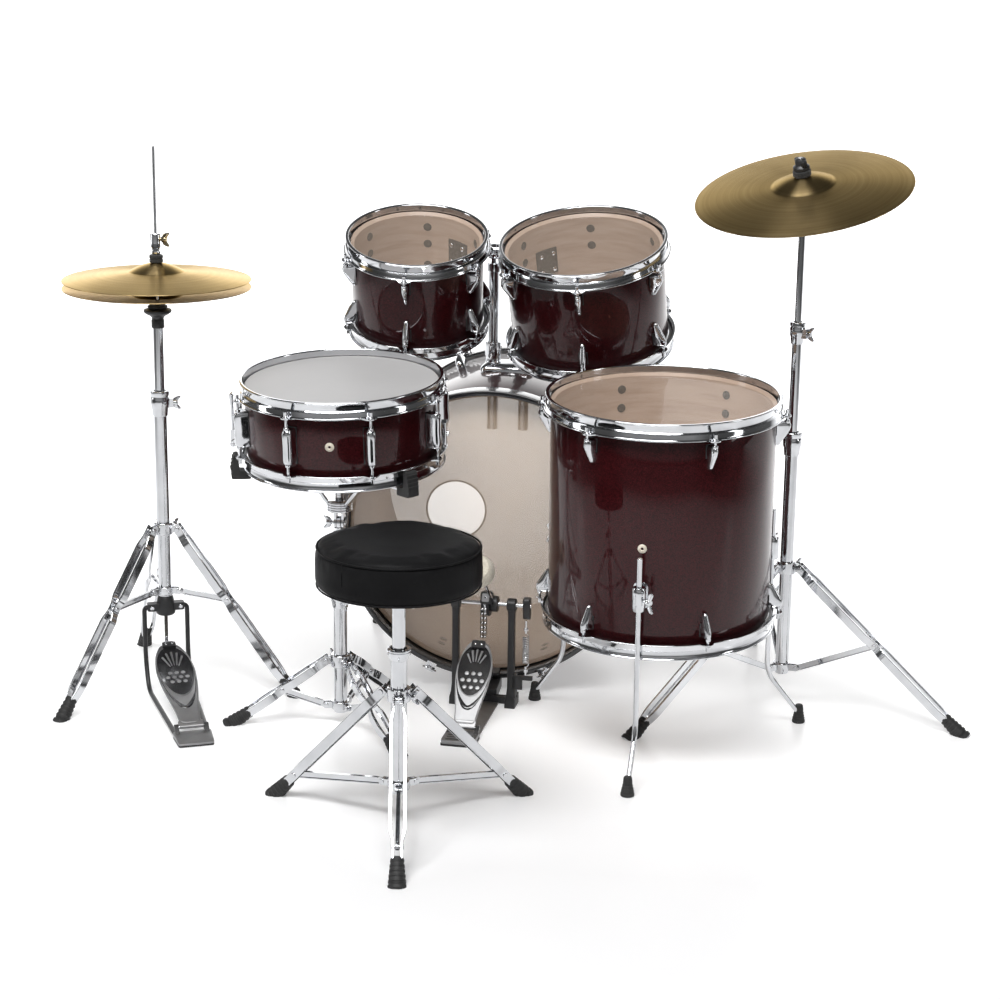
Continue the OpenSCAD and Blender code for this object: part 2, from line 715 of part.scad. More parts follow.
snare_tube_r = 12.7;
snare_post_r = 9.5;
snare_collar_z = 125;
snare_hub_z = 36;
snare_clamp_z = 264;
snare_tilter_z = 395;
basket_hub_z = 432;

module snare_stand_base() {
    color(chrome) on_floor(snare_stand_at) {
        clamped_tube(snare_tube_r, snare_tube_r - 2, 22, snare_clamp_z, 34, snare_post_r, -60);
        hub_ears(snare_tube_r, snare_tube_r - 1, snare_hub_z, 28, 72);
        tripod(snare_tube_r, snare_collar_z, snare_hub_z, 28, 208, 0.46, 72);
    }
}

module snare_stand_post() {
    color(chrome) on_floor(snare_stand_at) difference() {
        union() {
            tube(snare_post_r, snare_post_r - 1.6, 110, snare_tilter_z - 16);
            translate([0, 0, snare_tilter_z - 30]) cylinder(r = 13, h = 16);
            translate([-4, -9, snare_tilter_z - 16]) cube([8, 18, 16]);
            translate([-4, 0, snare_tilter_z]) rotate([0, 90, 0]) cylinder(r = 13, h = 8);
        }
        translate([-20, 0, snare_tilter_z]) rotate([0, 90, 0]) cylinder(r = hinge_pin_r + fit, h = 40);
    }
}

// Flat bar that runs a little past both of its points
module flat_arm(a, b, width, thickness) {
    v = b - a;
    past = 3;
    translate(a) rotate([0, acos(v[2] / norm(v)), atan2(v[1], v[0])])
        translate([-thickness / 2, -width / 2, -past]) cube([thickness, width, norm(v) + 2 * past]);
}

// Tilting hub with three arms that hold the snare's lower hoop
module snare_basket() {
    tip_z = -snare_depth - 2;
    color(chrome) on_floor([0, 0]) {
        translate([snare_stand_at[0], snare_stand_at[1], 0]) {
            for (side = [-1, 1]) translate([side * 7, 0, snare_tilter_z]) {
                rotate([0, 90, 0]) cylinder(r = 12, h = 5, center = true);
                translate([-2.5, -9, 0]) cube([5, 18, basket_hub_z - 12 - snare_tilter_z]);
            }
            translate([-11, 0, snare_tilter_z]) rotate([0, 90, 0]) cylinder(r = hinge_pin_r, h = 22);
            translate([0, 0, basket_hub_z - 14]) cylinder(r = 24, h = 20);
            translate([0, 0, basket_hub_z]) cylinder(r = 8, h = 60);
        }
        for (turn = basket_turns) {
            hub = [snare_stand_at[0] + 18 * cos(turn), snare_stand_at[1] + 18 * sin(turn), basket_hub_z];
            elbow = drum_point(snare_at, snare_tilt, polar(76, turn, tip_z - 25));
            tip = drum_point(snare_at, snare_tilt, polar(snare_r + 22, turn, tip_z - 22));
            flat_arm(hub, elbow, 13, 7);
            flat_arm(elbow, tip, 12, 6);
        }
    }
    color(black) in_drum(snare_at, snare_tilt) for (turn = basket_turns) rotate([0, 0, turn])
        rotate([90, 0, 0]) linear_extrude(height = 24, center = true) polygon([
            [snare_r - 4, tip_z - 32], [snare_r + 34, tip_z - 30], [snare_r + 28, tip_z + 18],
            [snare_r + 16, tip_z + 18], [snare_r + 16, tip_z - 14], [snare_r - 4, tip_z - 14]
        ]);
}

//
// Hi-hat
//

hat_tube_r = 12.7;
hat_post_r = 10;
hat_rod_r = 3;
hat_collar_z = 326;
hat_hub_z = 200;
hat_tube_bottom_z = 188;
hat_clamp_z = 600;
hat_cup_z = 762;
hat_top_z = 1067;
hat_first = -3.9;
hat_foot_r = 263;
bell_r = 52;
hat_heel = 285;
hat_toe_z = 88;

module hat_pedal_place() on_floor(hihat_at) rotate([0, 0, hihat_turn]) children();

module hihat_stand_base() {
    color(chrome) on_floor(hihat_at) {
        clamped_tube(hat_tube_r, hat_tube_r - 2, hat_tube_bottom_z, hat_clamp_z, 50, hat_post_r, 20);
        hub_ears(hat_tube_r, hat_tube_r - 1, hat_hub_z, 30, hat_first);
        tripod(hat_tube_r, hat_collar_z, hat_hub_z, 30, hat_foot_r, 0.42, hat_first);
    }
}

// Black head casting, the two bent radius rods and the heel plate
module hihat_pedal_frame() {
    rod_y = 42;
    color(black) hat_pedal_place() {
        difference() {
            union() {
                translate([0, 0, 150]) cylinder(r = 19, h = hat_tube_bottom_z - 150);
                translate([-10, -rod_y - 6, 158]) cube([20, 2 * rod_y + 12, 16]);
            }
            translate([0, 0, 140]) cylinder(r = hat_rod_r + 5, h = 60);
        }
        for (side = [-1, 1]) {
            rod_between([0, side * rod_y, 166], [0, side * rod_y, 60], 4.5);
            translate([0, side * rod_y, 60]) sphere(r = 5, $fn = 48);
            rod_between([0, side * rod_y, 60], [34, side * rod_y, 6], 4.5);
            translate([34, side * rod_y, 6]) sphere(r = 5, $fn = 48);
            rod_between([34, side * rod_y, 6], [hat_heel + 10, side * 30, 6], 4.5);
        }
        difference() {
            translate([hat_heel + 4, -36, 0]) cube([56, 72, 12]);
            translate([hat_heel + 40, -37, 12]) rotate([0, 14, 0]) cube([60, 74, 20]);
        }
        difference() {
            for (side = [-1, 1]) link([hat_heel, 18], [hat_heel + 12, 6], 12, side * 28 - 4, side * 28 + 4);
            pin_y([hat_heel, 18], hinge_pin_r + fit, -40, 40);
        }
    }
}

module hihat_footboard() {
    length = norm([hat_heel - 18, hat_toe_z - 18]);
    rise = atan2(hat_toe_z - 18, hat_heel - 18);
    color(chrome) hat_pedal_place() translate([hat_heel, 0, 18]) rotate([0, rise, 0]) difference() {
        union() {
            mirror([1, 0, 0]) linear_extrude(height = 5) polygon([
                [6, -21], [length * 0.14, -22], [length * 0.48, -35], [length * 0.68, -38],
                [length * 0.86, -32], [length, -16], [length, 16], [length * 0.86, 32],
                [length * 0.68, 38], [length * 0.48, 35], [length * 0.14, 22], [6, 21]
            ]);
            pin_y([0, 0], hinge_pin_r, -31, 31);
            translate([-12, -23, -3.5]) cube([12, 46, 7]);
        }
        translate([-length - 1, -4, -1]) cube([12, 8, 7]);
    }
}

// Pull rod, with the chain that the footboard hangs on
module hihat_rod() {
    color(chrome) hat_pedal_place() {
        translate([0, 0, 160]) cylinder(r = hat_rod_r, h = hat_top_z - 160);
        translate([-3, -5, hat_toe_z + 10]) cube([6, 10, 62]);
        translate([-4, -9, hat_toe_z + 9]) cube([28, 18, 3]);
    }
}

module hihat_tube() {
    color(chrome) on_floor(hihat_at) difference() {
        union() {
            translate([0, 0, 420]) cylinder(r = hat_post_r, h = 326);
            translate([0, 0, hat_cup_z - 40]) cylinder(r = 12.5, h = 24);
            translate([0, 0, hat_cup_z - 18]) cylinder(r1 = 14, r2 = 26, h = 8);
            translate([0, 0, hat_cup_z - 10]) cylinder(r = 27, h = 9);
            translate([0, 0, hat_cup_z - 2]) cylinder(r = 5, h = 14);
        }
        translate([0, 0, 419]) cylinder(r = hat_post_r - 1.8, h = 300);
        translate([0, 0, 419]) cylinder(r = hat_rod_r + 0.4, h = 400);
    }
}

hat_r = hihat_d / 2;
hat_total_h = bow_h + bell_h;
module hihat_bottom_cymbal() {
    color(bronze) on_floor(hihat_at) translate([0, 0, hihat_edge_z - hihat_gap])
        mirror([0, 0, 1]) cymbal(hat_r, bell_r, 6);
}

// Upper cymbal hung between two felts on the clutch
module hihat_top_cymbal() {
    bell_z = hihat_edge_z + hat_total_h;
    on_floor(hihat_at) {
        color(bronze) translate([0, 0, hihat_edge_z]) cymbal(hat_r, bell_r, 6);
        color(black) for (z = [bell_z + 0.3, bell_z - cymbal_t - 7.5]) difference() {
            translate([0, 0, z]) cylinder(r = 13, h = z > bell_z ? 15 : 6.5);
            translate([0, 0, z - 1]) cylinder(r = 5.2, h = 18);
        }
        color(chrome) difference() {
            union() {
                translate([0, 0, bell_z - 14]) cylinder(r = 9, h = 5);
                translate([0, 0, bell_z - 10]) cylinder(r = 5, h = 30);
                translate([0, 0, bell_z + 15.5]) cylinder(r = 8, h = 14);
                translate([0, 0, bell_z + 28]) cylinder(r = 10, h = 28);
                rotate([0, 0, -20]) translate([0, 0, bell_z + 44]) wing_bolt(8, 12, 26);
            }
            translate([0, 0, bell_z - 20]) cylinder(r = hat_rod_r + fit, h = 100);
        }
    }
}

//
// Crash cymbal and its stand, whose tripod folds
//

crash_tube_r = 12.7;
crash_middle_r = 9.5;
crash_top_r = 6.8;
crash_collar_z = 280;
crash_hub_z = 78;
crash_hinge_r = 30;
crash_foot_r = 363;
crash_first = -19.5;
crash_strut_share = 0.4665;
crash_clamp_z = 548;
crash_middle_top_z = 760;
crash_hinge_z = 958;
crash_hinge_back = (crash_edge_z - crash_hinge_z) * tan(crash_lean);

module crash_base_tube() {
    color(chrome) on_floor(crash_at) {
        clamped_tube(crash_tube_r, crash_tube_r - 1.8, 64, crash_clamp_z, 46, crash_middle_r, 75);
        hub_ears(crash_tube_r, crash_tube_r - 1, crash_hub_z, crash_hinge_r, crash_first);
    }
}

module crash_collar() {
    color(chrome) on_floor(crash_at) tripod_collar(crash_tube_r, crash_collar_z, crash_hinge_r, crash_first);
}

module crash_leg(i) {
    color(chrome) on_floor(crash_at)
        tripod_leg([crash_hinge_r, crash_collar_z], crash_foot_r, crash_strut_share, crash_first + i * 120);
}

module crash_strut(i) {
    end = leg_point([crash_hinge_r, crash_collar_z], crash_foot_r, crash_strut_share);
    color(chrome) on_floor(crash_at) tripod_strut([crash_hinge_r, crash_hub_z], end, crash_first + i * 120);
}

module crash_leg_1() crash_leg(0);
module crash_leg_2() crash_leg(1);
module crash_leg_3() crash_leg(2);
module crash_strut_1() crash_strut(0);
module crash_strut_2() crash_strut(1);
module crash_strut_3() crash_strut(2);

module crash_middle_tube() {
    color(chrome) on_floor(crash_at)
        clamped_tube(crash_middle_r, crash_middle_r - 1.6, 350, crash_middle_top_z, 42, crash_top_r, -30);
}

// In the lean's own frame: +X points where the cymbal leans, and the hinge axis is +Y
module crash_lean_place() on_floor(crash_at) rotate([0, 0, crash_lean_turn]) children();

module crash_top_tube() {
    color(chrome) crash_lean_place() difference() {
        union() {
            tube(crash_top_r, crash_top_r - 1.4, 560, crash_hinge_z - 20);
            translate([0, 0, crash_hinge_z - 30]) cylinder(r = 10, h = 14);
            link([-crash_hinge_back / 2, crash_hinge_z - 14], [-crash_hinge_back, crash_hinge_z], 20, -4, 4);
        }
        pin_y([-crash_hinge_back, crash_hinge_z], hinge_pin_r + fit, -20, 20);
    }
}

// Tilter fork, cymbal rod, seat, felts and wing nut
module crash_tilter() {
    seat = (crash_edge_z - crash_hinge_z) / cos(crash_lean) + hat_total_h;
    crash_lean_place() translate([-crash_hinge_back, 0, crash_hinge_z]) rotate([0, crash_lean, 0]) {
        color(chrome) {
            for (side = [-1, 1]) link([0, 0], [0, 20], 18, side * 6.8 - 2.5, side * 6.8 + 2.5);
            pin_y([0, 0], hinge_pin_r, -10, 10);
            translate([0, 0, 15]) cylinder(r = 10, h = 8);
            translate([0, 0, 20]) cylinder(r = 4, h = seat + 16);
        }
        color(black) {
            translate([0, 0, seat - cymbal_t - 9]) cylinder(r = 14, h = 7.8);
            translate([0, 0, seat + 0.3]) cylinder(r = 17, h = 12.7);
            translate([0, 0, seat + 12]) cylinder(r = 15.5, h = 10);
            rotate([0, 0, 60]) translate([-17, -5.5, seat + 20]) cube([34, 11, 15]);
        }
    }
}

module crash_cymbal() {
    lift = (crash_edge_z - crash_hinge_z) / cos(crash_lean);
    color(bronze) crash_lean_place() translate([-crash_hinge_back, 0, crash_hinge_z])
        rotate([0, crash_lean, 0]) translate([0, 0, lift]) cymbal(crash_d / 2, 60, 6);
}

//
// Bass pedal. Its own frame has the axle above the origin and the drum on the +Y side.
//

module pedal_place() on_floor(pedal_at) rotate([0, 0, pedal_turn]) children();

// Turns a shape drawn for link, in XZ, to stand in the pedal's YZ plane
module along_y() rotate([0, 0, 90]) children();

post_x = 55;
module pedal_frame() {
    hoop_bottom_z = bass_axis_z - bass_hoop_outer_r;
    color(black) pedal_place() {
        difference() {
            for (x = [-post_x, post_x]) {
                translate([x - 7, -9, 0]) cube([14, 18, axle_z]);
                translate([x - 9, 0, axle_z]) rotate([0, 90, 0]) cylinder(r = 13, h = 18);
                translate([x - 11, -16, 0]) cube([22, 44, 22]);
            }
            translate([-100, 0, axle_z]) rotate([0, 90, 0]) cylinder(r = 4 + fit, h = 200);
        }
        translate([-56, 8, 0]) cube([112, 18, 14]);
        translate([-33, -236, 0]) cube([66, 56, 11]);
        for (side = [-1, 1]) along_y() difference() {
            link([board_hinge[0], board_hinge[1]], [-190, 6], 11, side * 26 - 4, side * 26 + 4);
            pin_y(board_hinge, hinge_pin_r + fit, -40, 40);
        }
        translate([post_x + 18, -14, 60]) cube([26, 8, 8]);
        translate([post_x + 5, -14, 40]) cube([19, 8, 28]);
        translate([post_x + 5, -14, 22]) cube([6, 22, 46]);
    }
    color(chrome) pedal_place() translate([-30, -200, 0]) cube([60, 212, 3]);
    color(black) on_floor([pedal_at[0], 0]) {
        translate([-24, -62, 3]) cube([48, 86, hoop_bottom_z - 3.3]);
        translate([-20, -12, hoop_bottom_z + 11.2]) cube([40, 34, 5]);
        translate([-6, -16, 20]) cube([12, 6, hoop_bottom_z]);
    }
}

module pedal_footboard() {
    run = board_toe - board_hinge;
    length = norm(run);
    color(chrome) pedal_place() translate([0, board_hinge[0], board_hinge[1]])
        rotate([atan2(run[1], run[0]), 0, 0]) {
            linear_extrude(height = 5) polygon([
                [-20, 6], [-21, length * 0.16], [-board_w / 2 + 3, length * 0.48],
                [-board_w / 2, length * 0.66], [-29, length * 0.86], [-16, length], [16, length],
                [29, length * 0.86], [board_w / 2, length * 0.66], [board_w / 2 - 3, length * 0.48],
                [21, length * 0.16], [20, 6]
            ]);
            translate([-30, 0, 0]) rotate([0, 90, 0]) cylinder(r = hinge_pin_r, h = 60);
            translate([-21, 0, -3.5]) cube([42, 12, 7]);
        }
}

beater_lean = 54;
beater_reach = 185;
cam_r = 33;
lever_x = post_x + 30;
module pedal_beater() {
    pedal_place() translate([0, 0, axle_z]) {
        color(chrome) translate([-post_x - 13, 0, 0]) rotate([0, 90, 0])
            cylinder(r = 4, h = 2 * post_x + 13 + 38);
        color(black) {
            translate([chain_x - 8, 0, 0]) rotate([0, 90, 0]) cylinder(r = cam_r - 8, h = 16);
            translate([chain_x + 8, 0, 0]) rotate([0, 90, 0]) cylinder(r = 16, h = 14);
            translate([lever_x - 8, -12, -26]) cube([15, 24, 42]);
        }
        rotate([beater_lean, 0, 0]) translate([chain_x + 14, 0, 0]) {
            color(chrome) cylinder(r = 3, h = beater_reach + 24);
            color(felt_cream) translate([0, 0, beater_reach]) difference() {
                sphere(r = 31);
                for (s = [-1, 1]) translate([-40, -40, s > 0 ? 22 : -62]) cube([80, 80, 40]);
                translate([0, 0, -30]) difference() {
                    cylinder(r = 40, h = 60);
                    translate([0, 0, -1]) cylinder(r = 25, h = 62);
                }
            }
        }
    }
}

// Double chain from the cam down to the footboard's toe
module pedal_chain() {
    color(chrome) pedal_place()
        translate([chain_x - 6, -cam_r - 2, board_toe[1] + 9]) cube([12, 5, axle_z - board_toe[1] - 8]);
}

module pedal_spring() {
    color(chrome) pedal_place() translate([lever_x, -10, 0]) {
        tube(7, 4.5, 92, 150);
        translate([0, 0, 68]) cylinder(r = 2, h = 112.5);
    }
}

//
// Throne
//

throne_tube_r = 14;
throne_post_r = 11.1;
module throne_base() {
    color(chrome) on_floor(throne_at) {
        clamped_tube(throne_tube_r, throne_tube_r - 1.5, 56, 313, 20, throne_post_r, 100);
        hub_ears(throne_tube_r, throne_tube_r - 1, 70, 31, -80.7);
        tripod(throne_tube_r, 232, 70, 31, 252, 0.8, -80.7);
    }
}

module throne_post() {
    color(chrome) on_floor(throne_at) {
        tube(throne_post_r, throne_post_r - 1.8, 150, seat_bottom_z - 6);
        difference() {
            translate([0, 0, seat_bottom_z - 30]) cylinder(r = 17, h = 26);
            translate([0, 0, seat_bottom_z - 31]) cylinder(r = throne_post_r, h = 25);
        }
        translate([0, 0, seat_bottom_z - 6]) cylinder(r = 95, h = 5.7);
    }
}

module throne_seat() {
    color(black) on_floor(throne_at) translate([0, 0, seat_bottom_z]) rotate_extrude($fn = 120) polygon([
        [0, 0], [seat_r - 10, 0], [seat_r - 2, 6], [seat_r, 20], [seat_r, seat_h - 16],
        [seat_r - 4, seat_h - 5], [seat_r - 16, seat_h], [0, seat_h]
    ]);
}

bass_shell();
bass_hoops();
bass_heads();
bass_lugs();
tom_mount();
bass_spur_left();
bass_spur_right();
pedal_frame();
pedal_footboard();
pedal_beater();
pedal_chain();
pedal_spring();
small_tom_post();
small_tom_shell();
small_tom_hoops();
small_tom_heads();
small_tom_lugs();
medium_tom_post();
medium_tom_shell();
medium_tom_hoops();
medium_tom_heads();
medium_tom_lugs();
floor_tom_shell();
floor_tom_hoops();
floor_tom_heads();
floor_tom_lugs();
floor_tom_leg_1();
floor_tom_leg_2();
floor_tom_leg_3();
snare_shell();
snare_hoops();
snare_heads();
snare_lugs();
snare_wires();
snare_throwoff();
snare_stand_base();
snare_stand_post();
snare_basket();
hihat_stand_base();
hihat_pedal_frame();
hihat_footboard();
hihat_rod();
hihat_tube();
hihat_bottom_cymbal();
hihat_top_cymbal();
crash_base_tube();
crash_collar();
crash_leg_1();
crash_leg_2();
crash_leg_3();
crash_strut_1();
crash_strut_2();
crash_strut_3();
crash_middle_tube();
crash_top_tube();
crash_tilter();
crash_cymbal();
throne_base();
throne_post();
throne_seat();
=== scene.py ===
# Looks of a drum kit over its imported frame. Shapes are drawn in millimetres in the frame of the
# drum or stand that they belong to, and each piece is put where the frame has that drum or stand.
import json
import math
import random

import bmesh
import bpy
from mathutils import Matrix, Vector


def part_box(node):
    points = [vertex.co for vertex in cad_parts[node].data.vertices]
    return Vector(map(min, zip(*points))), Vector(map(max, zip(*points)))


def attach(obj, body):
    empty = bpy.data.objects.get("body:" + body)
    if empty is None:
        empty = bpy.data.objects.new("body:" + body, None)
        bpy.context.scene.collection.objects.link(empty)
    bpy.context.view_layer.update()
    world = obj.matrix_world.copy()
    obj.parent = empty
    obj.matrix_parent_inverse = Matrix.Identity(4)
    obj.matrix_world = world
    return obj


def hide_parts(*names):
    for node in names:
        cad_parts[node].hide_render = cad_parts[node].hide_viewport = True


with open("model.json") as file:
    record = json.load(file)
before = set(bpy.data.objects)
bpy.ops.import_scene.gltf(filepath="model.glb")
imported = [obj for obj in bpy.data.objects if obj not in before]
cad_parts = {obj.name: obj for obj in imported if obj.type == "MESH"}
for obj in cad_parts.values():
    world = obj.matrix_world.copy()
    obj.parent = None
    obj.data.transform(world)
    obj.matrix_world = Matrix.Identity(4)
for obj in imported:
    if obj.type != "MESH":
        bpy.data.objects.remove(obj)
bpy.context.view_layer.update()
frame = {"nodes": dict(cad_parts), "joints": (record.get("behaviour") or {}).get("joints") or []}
MM = 0.001
HERE = Matrix.Identity(4)
joints = {joint["name"]: joint for joint in frame["joints"]}


def shift(x, y, z):
    return Matrix.Translation((x, y, z))


def turn(axis, degrees):
    return Matrix.Rotation(math.radians(degrees), 4, axis)


def polar(r, degrees, z):
    return Vector((r * math.cos(math.radians(degrees)), r * math.sin(math.radians(degrees)), z))


def middle(node):
    lo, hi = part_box(node)
    return (Vector(lo) + Vector(hi)) / 2


def heights(node):
    """The node's lowest and highest points, in millimetres above the floor."""
    lo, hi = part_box(node)
    return lo[2] / MM, hi[2] / MM


def under(point):
    """The frame on the floor, straight under a point."""
    return shift(point.x, point.y, 0)


def joint_at(name):
    return Vector(joints[name]["pos_m"])


def in_millimetres(place):
    """The same frame for points in millimetres."""
    moved = place.copy()
    moved.translation = place.translation / MM
    return moved


def both_sides(near, far):
    """The span from near to far on the low side of zero, and its mirror image."""
    return (-far, -near), (near, far)


def both_ends(span):
    """The frame of one end and, a span along Z, the frame of the other end, which mirrors it."""
    return HERE, shift(0, 0, span) @ Matrix.Diagonal((1, 1, -1, 1))


# ---------------------------------------------------------------- camera, lights and floor

CAMERA_AT = (0.4924, -3.9603, 1.534)
CAMERA_HEADING = 7.28       # degrees to the left of +Y
CAMERA_DROP = 15.11         # degrees below level
CAMERA_ROLL = 0.735
WALL_LIGHT = 1.8
FLOOR_REACH = 60.0


def make_camera():
    camera = bpy.data.objects.new("camera", bpy.data.cameras.new("camera"))
    bpy.context.collection.objects.link(camera)
    camera.data.lens = 81.25
    camera.data.sensor_width = 36
    camera.data.clip_end = 60
    camera.matrix_world = (shift(*CAMERA_AT) @ turn("Z", CAMERA_HEADING) @ turn("X", 90 - CAMERA_DROP)
                           @ turn("Z", CAMERA_ROLL))
    bpy.context.scene.camera = camera


def area_light(name, at, aim, width, height, power):
    light = bpy.data.lights.new(name, "AREA")
    light.energy = power
    light.shape = "RECTANGLE"
    light.size = width
    light.size_y = height
    obj = bpy.data.objects.new(name, light)
    bpy.context.collection.objects.link(obj)
    obj.matrix_world = shift(*at) @ (Vector(aim) - Vector(at)).to_track_quat("-Z", "Y").to_matrix().to_4x4()


def make_lights():
    area_light("key_light", (-0.5, -2.3, 4.4), (0.1, 0.1, 0.2), 3.6, 1.8, 275)
    area_light("left_light", (-4.0, -0.4, 1.9), (0, 0, 0.5), 0.7, 2.6, 21)
    area_light("right_light", (4.2, -0.9, 2.0), (0, 0, 0.5), 0.6, 2.6, 21)
    bpy.context.scene.view_settings.view_transform = "Standard"


def greys(*stops):
    return [(position, (level, level, level)) for position, level in stops]


def make_world():
    world = bpy.data.worlds.new("studio")
    tree = Tree(world)
    towards = tree.node("SeparateXYZ", tree.places["Generated"]).outputs
    depth = tree.maths("MULTIPLY_ADD", towards["Y"], 0.5, 0.5)
    # brighter near the horizon, dark overhead and to the sides
    sky = tree.ramp(towards["Z"], greys((0.0, 0.10), (0.02, 0.62), (0.30, 0.42), (0.62, 0.12), (1.0, 0.10)))
    front_to_back = tree.ramp(depth, greys((0.0, 0.62), (0.28, 0.6), (0.5, 0.62), (1.0, 0.9)))
    aside = tree.ramp(tree.maths("ABSOLUTE", towards["X"]), greys((0.0, 1.0), (0.5, 1.0), (0.72, 0.3),
                                                                  (1.0, 0.22)))
    dim = tree.maths("MULTIPLY", tree.maths("MULTIPLY", sky, front_to_back), aside)
    wall = tree.maths("MULTIPLY", tree.ramp(depth, greys((0.78, 0.0), (0.9, 1.0))),
                      tree.ramp(towards["Z"], greys((0.30, 1.0), (0.68, 0.0))))
    background = tree.nodes["Background"]
    tree.links.new(tree.maths("MULTIPLY_ADD", wall, WALL_LIGHT, dim), background.inputs["Color"])
    background.inputs["Strength"].default_value = 1.0
    bpy.context.scene.world = world


def make_floor():
    mesh = bpy.data.meshes.new("floor")
    far = FLOOR_REACH
    mesh.from_pydata([(-far, -far, 0), (far, -far, 0), (far, far, 0), (-far, far, 0)], [], [(0, 1, 2, 3)])
    mesh.polygons[0].use_smooth = True
    mesh.materials.append(MATERIALS["floor"])
    floor = bpy.data.objects.new("floor", mesh)
    bpy.context.collection.objects.link(floor)


# ---------------------------------------------------------------- materials

class Tree:
    """Short ways to add nodes to the tree of a material or of the world."""

    def __init__(self, owner):
        owner.use_nodes = True
        self.nodes = owner.node_tree.nodes
        self.links = owner.node_tree.links
        self.places = self.nodes.new("ShaderNodeTexCoord").outputs

    def node(self, kind, source=None, into=0, **inputs):
        node = self.nodes.new("ShaderNode" + kind)
        if source is not None:
            self.links.new(source, node.inputs[into])
        for name, value in inputs.items():
            node.inputs[name.replace("_", " ")].default_value = value
        return node

    def ramp(self, source, stops):
        node = self.node("ValToRGB", source)
        elements = node.color_ramp.elements
        elements[0].position = stops[0][0]
        elements[1].position = stops[-1][0]
        for position, _ in stops[1:-1]:
            elements.new(position)
        for element, (_, colour) in zip(elements, stops):
            element.color = (*colour, 1)
        return node.outputs["Color"]

    def maths(self, operation, *values):
        node = self.nodes.new("ShaderNodeMath")
        node.operation = operation
        for socket, value in zip(node.inputs, values):
            if isinstance(value, (int, float)):
                socket.default_value = value
            else:
                self.links.new(value, socket)
        return node.outputs[0]

    def fade(self, source, start, end):
        """Goes from 0 to 1 while the source goes from start to end."""
        return self.node("MapRange", source, From_Min=start, From_Max=end).outputs["Result"]

    def spread(self, source, low, high):
        """Goes from low to high while the source goes from 0 to 1."""
        return self.node("MapRange", source, To_Min=low, To_Max=high).outputs["Result"]


class Finish(Tree):
    """A material with its shader, whose plain sockets are set by name."""

    def __init__(self, name, **sockets):
        self.material = bpy.data.materials.new(name)
        super().__init__(self.material)
        self.coords = self.places["Object"]
        self.shader = self.nodes["Principled BSDF"]
        for socket, value in sockets.items():
            self.shader.inputs[socket.replace("_", " ")].default_value = value

    def noise(self, scale, detail=4.0, rough=0.55, source=None):
        node = self.node("TexNoise", source or self.coords, "Vector", Scale=scale, Detail=detail,
                         Roughness=rough)
        return node.outputs["Fac"]

    def cells(self, scale):
        return self.node("TexVoronoi", self.coords, "Vector", Scale=scale).outputs

    def set(self, socket, source):
        self.links.new(source, self.shader.inputs[socket])

    def bump(self, source, strength, distance):
        self.set("Normal", self.node("Bump", source, "Height", Strength=strength,
                                     Distance=distance).outputs[0])


def mixed(name, dark, light, scale, rough, bump=None, **sockets):
    """A plain finish: two near colours and a roughness range on one noise, and a fine bump."""
    tree = Finish(name, **sockets)
    cloud = tree.noise(scale)
    tree.set("Base Color", tree.ramp(cloud, [(0.3, dark), (0.7, light)]))
    tree.set("Roughness", tree.spread(cloud, *rough))
    if bump:
        grain, strength, distance = bump
        tree.bump(tree.noise(grain, 3.0), strength, distance)
    return tree.material


def wine_wrap():
    """Dark red wrap with metal flakes under a clear coat."""
    tree = Finish("wine_wrap", Metallic=0.2, Coat_Weight=0.62, Coat_Roughness=0.02, Coat_IOR=1.45,
                  Specular_IOR_Level=0.1)
    tree.set("Base Color", tree.ramp(tree.cells(900.0)["Color"], [
        (0.2, (0.014, 0.0014, 0.0020)), (0.9, (0.054, 0.0050, 0.0070))]))
    tree.set("Roughness", tree.spread(tree.noise(14.0), 0.28, 0.36))
    return tree.material


def inner_wood():
    tree = Finish("inner_wood", Coat_Weight=0.15, Coat_Roughness=0.3)
    stretch = tree.node("Mapping", tree.coords, "Vector", Scale=(1.0, 1.0, 9.0))
    grain = tree.noise(9.0, 7.0, 0.6, stretch.outputs[0])
    tree.set("Base Color", tree.ramp(grain, [
        (0.25, (0.40, 0.28, 0.205)), (0.5, (0.50, 0.37, 0.285)), (0.75, (0.56, 0.43, 0.34))]))
    tree.set("Roughness", tree.spread(grain, 0.38, 0.55))
    tree.bump(grain, 0.12, 0.0006)
    return tree.material


def film(name, tint, alpha, rough):
    """Drumhead film that lets light through, slightly cloudy."""
    tree = Finish(name, Alpha=alpha, Specular_IOR_Level=0.6)
    haze = tree.noise(7.0)
    tree.set("Base Color", tree.ramp(haze, [(0.3, tint), (0.8, tuple(c * 1.05 for c in tint))]))
    tree.set("Roughness", tree.spread(haze, *rough))
    return tree.material


GROOVE_PITCH = 0.0023
BRONZE_TINTS = ((0.3, (0.265, 0.190, 0.088)), (0.52, (0.320, 0.235, 0.115)), (0.7, (0.375, 0.282, 0.145)))


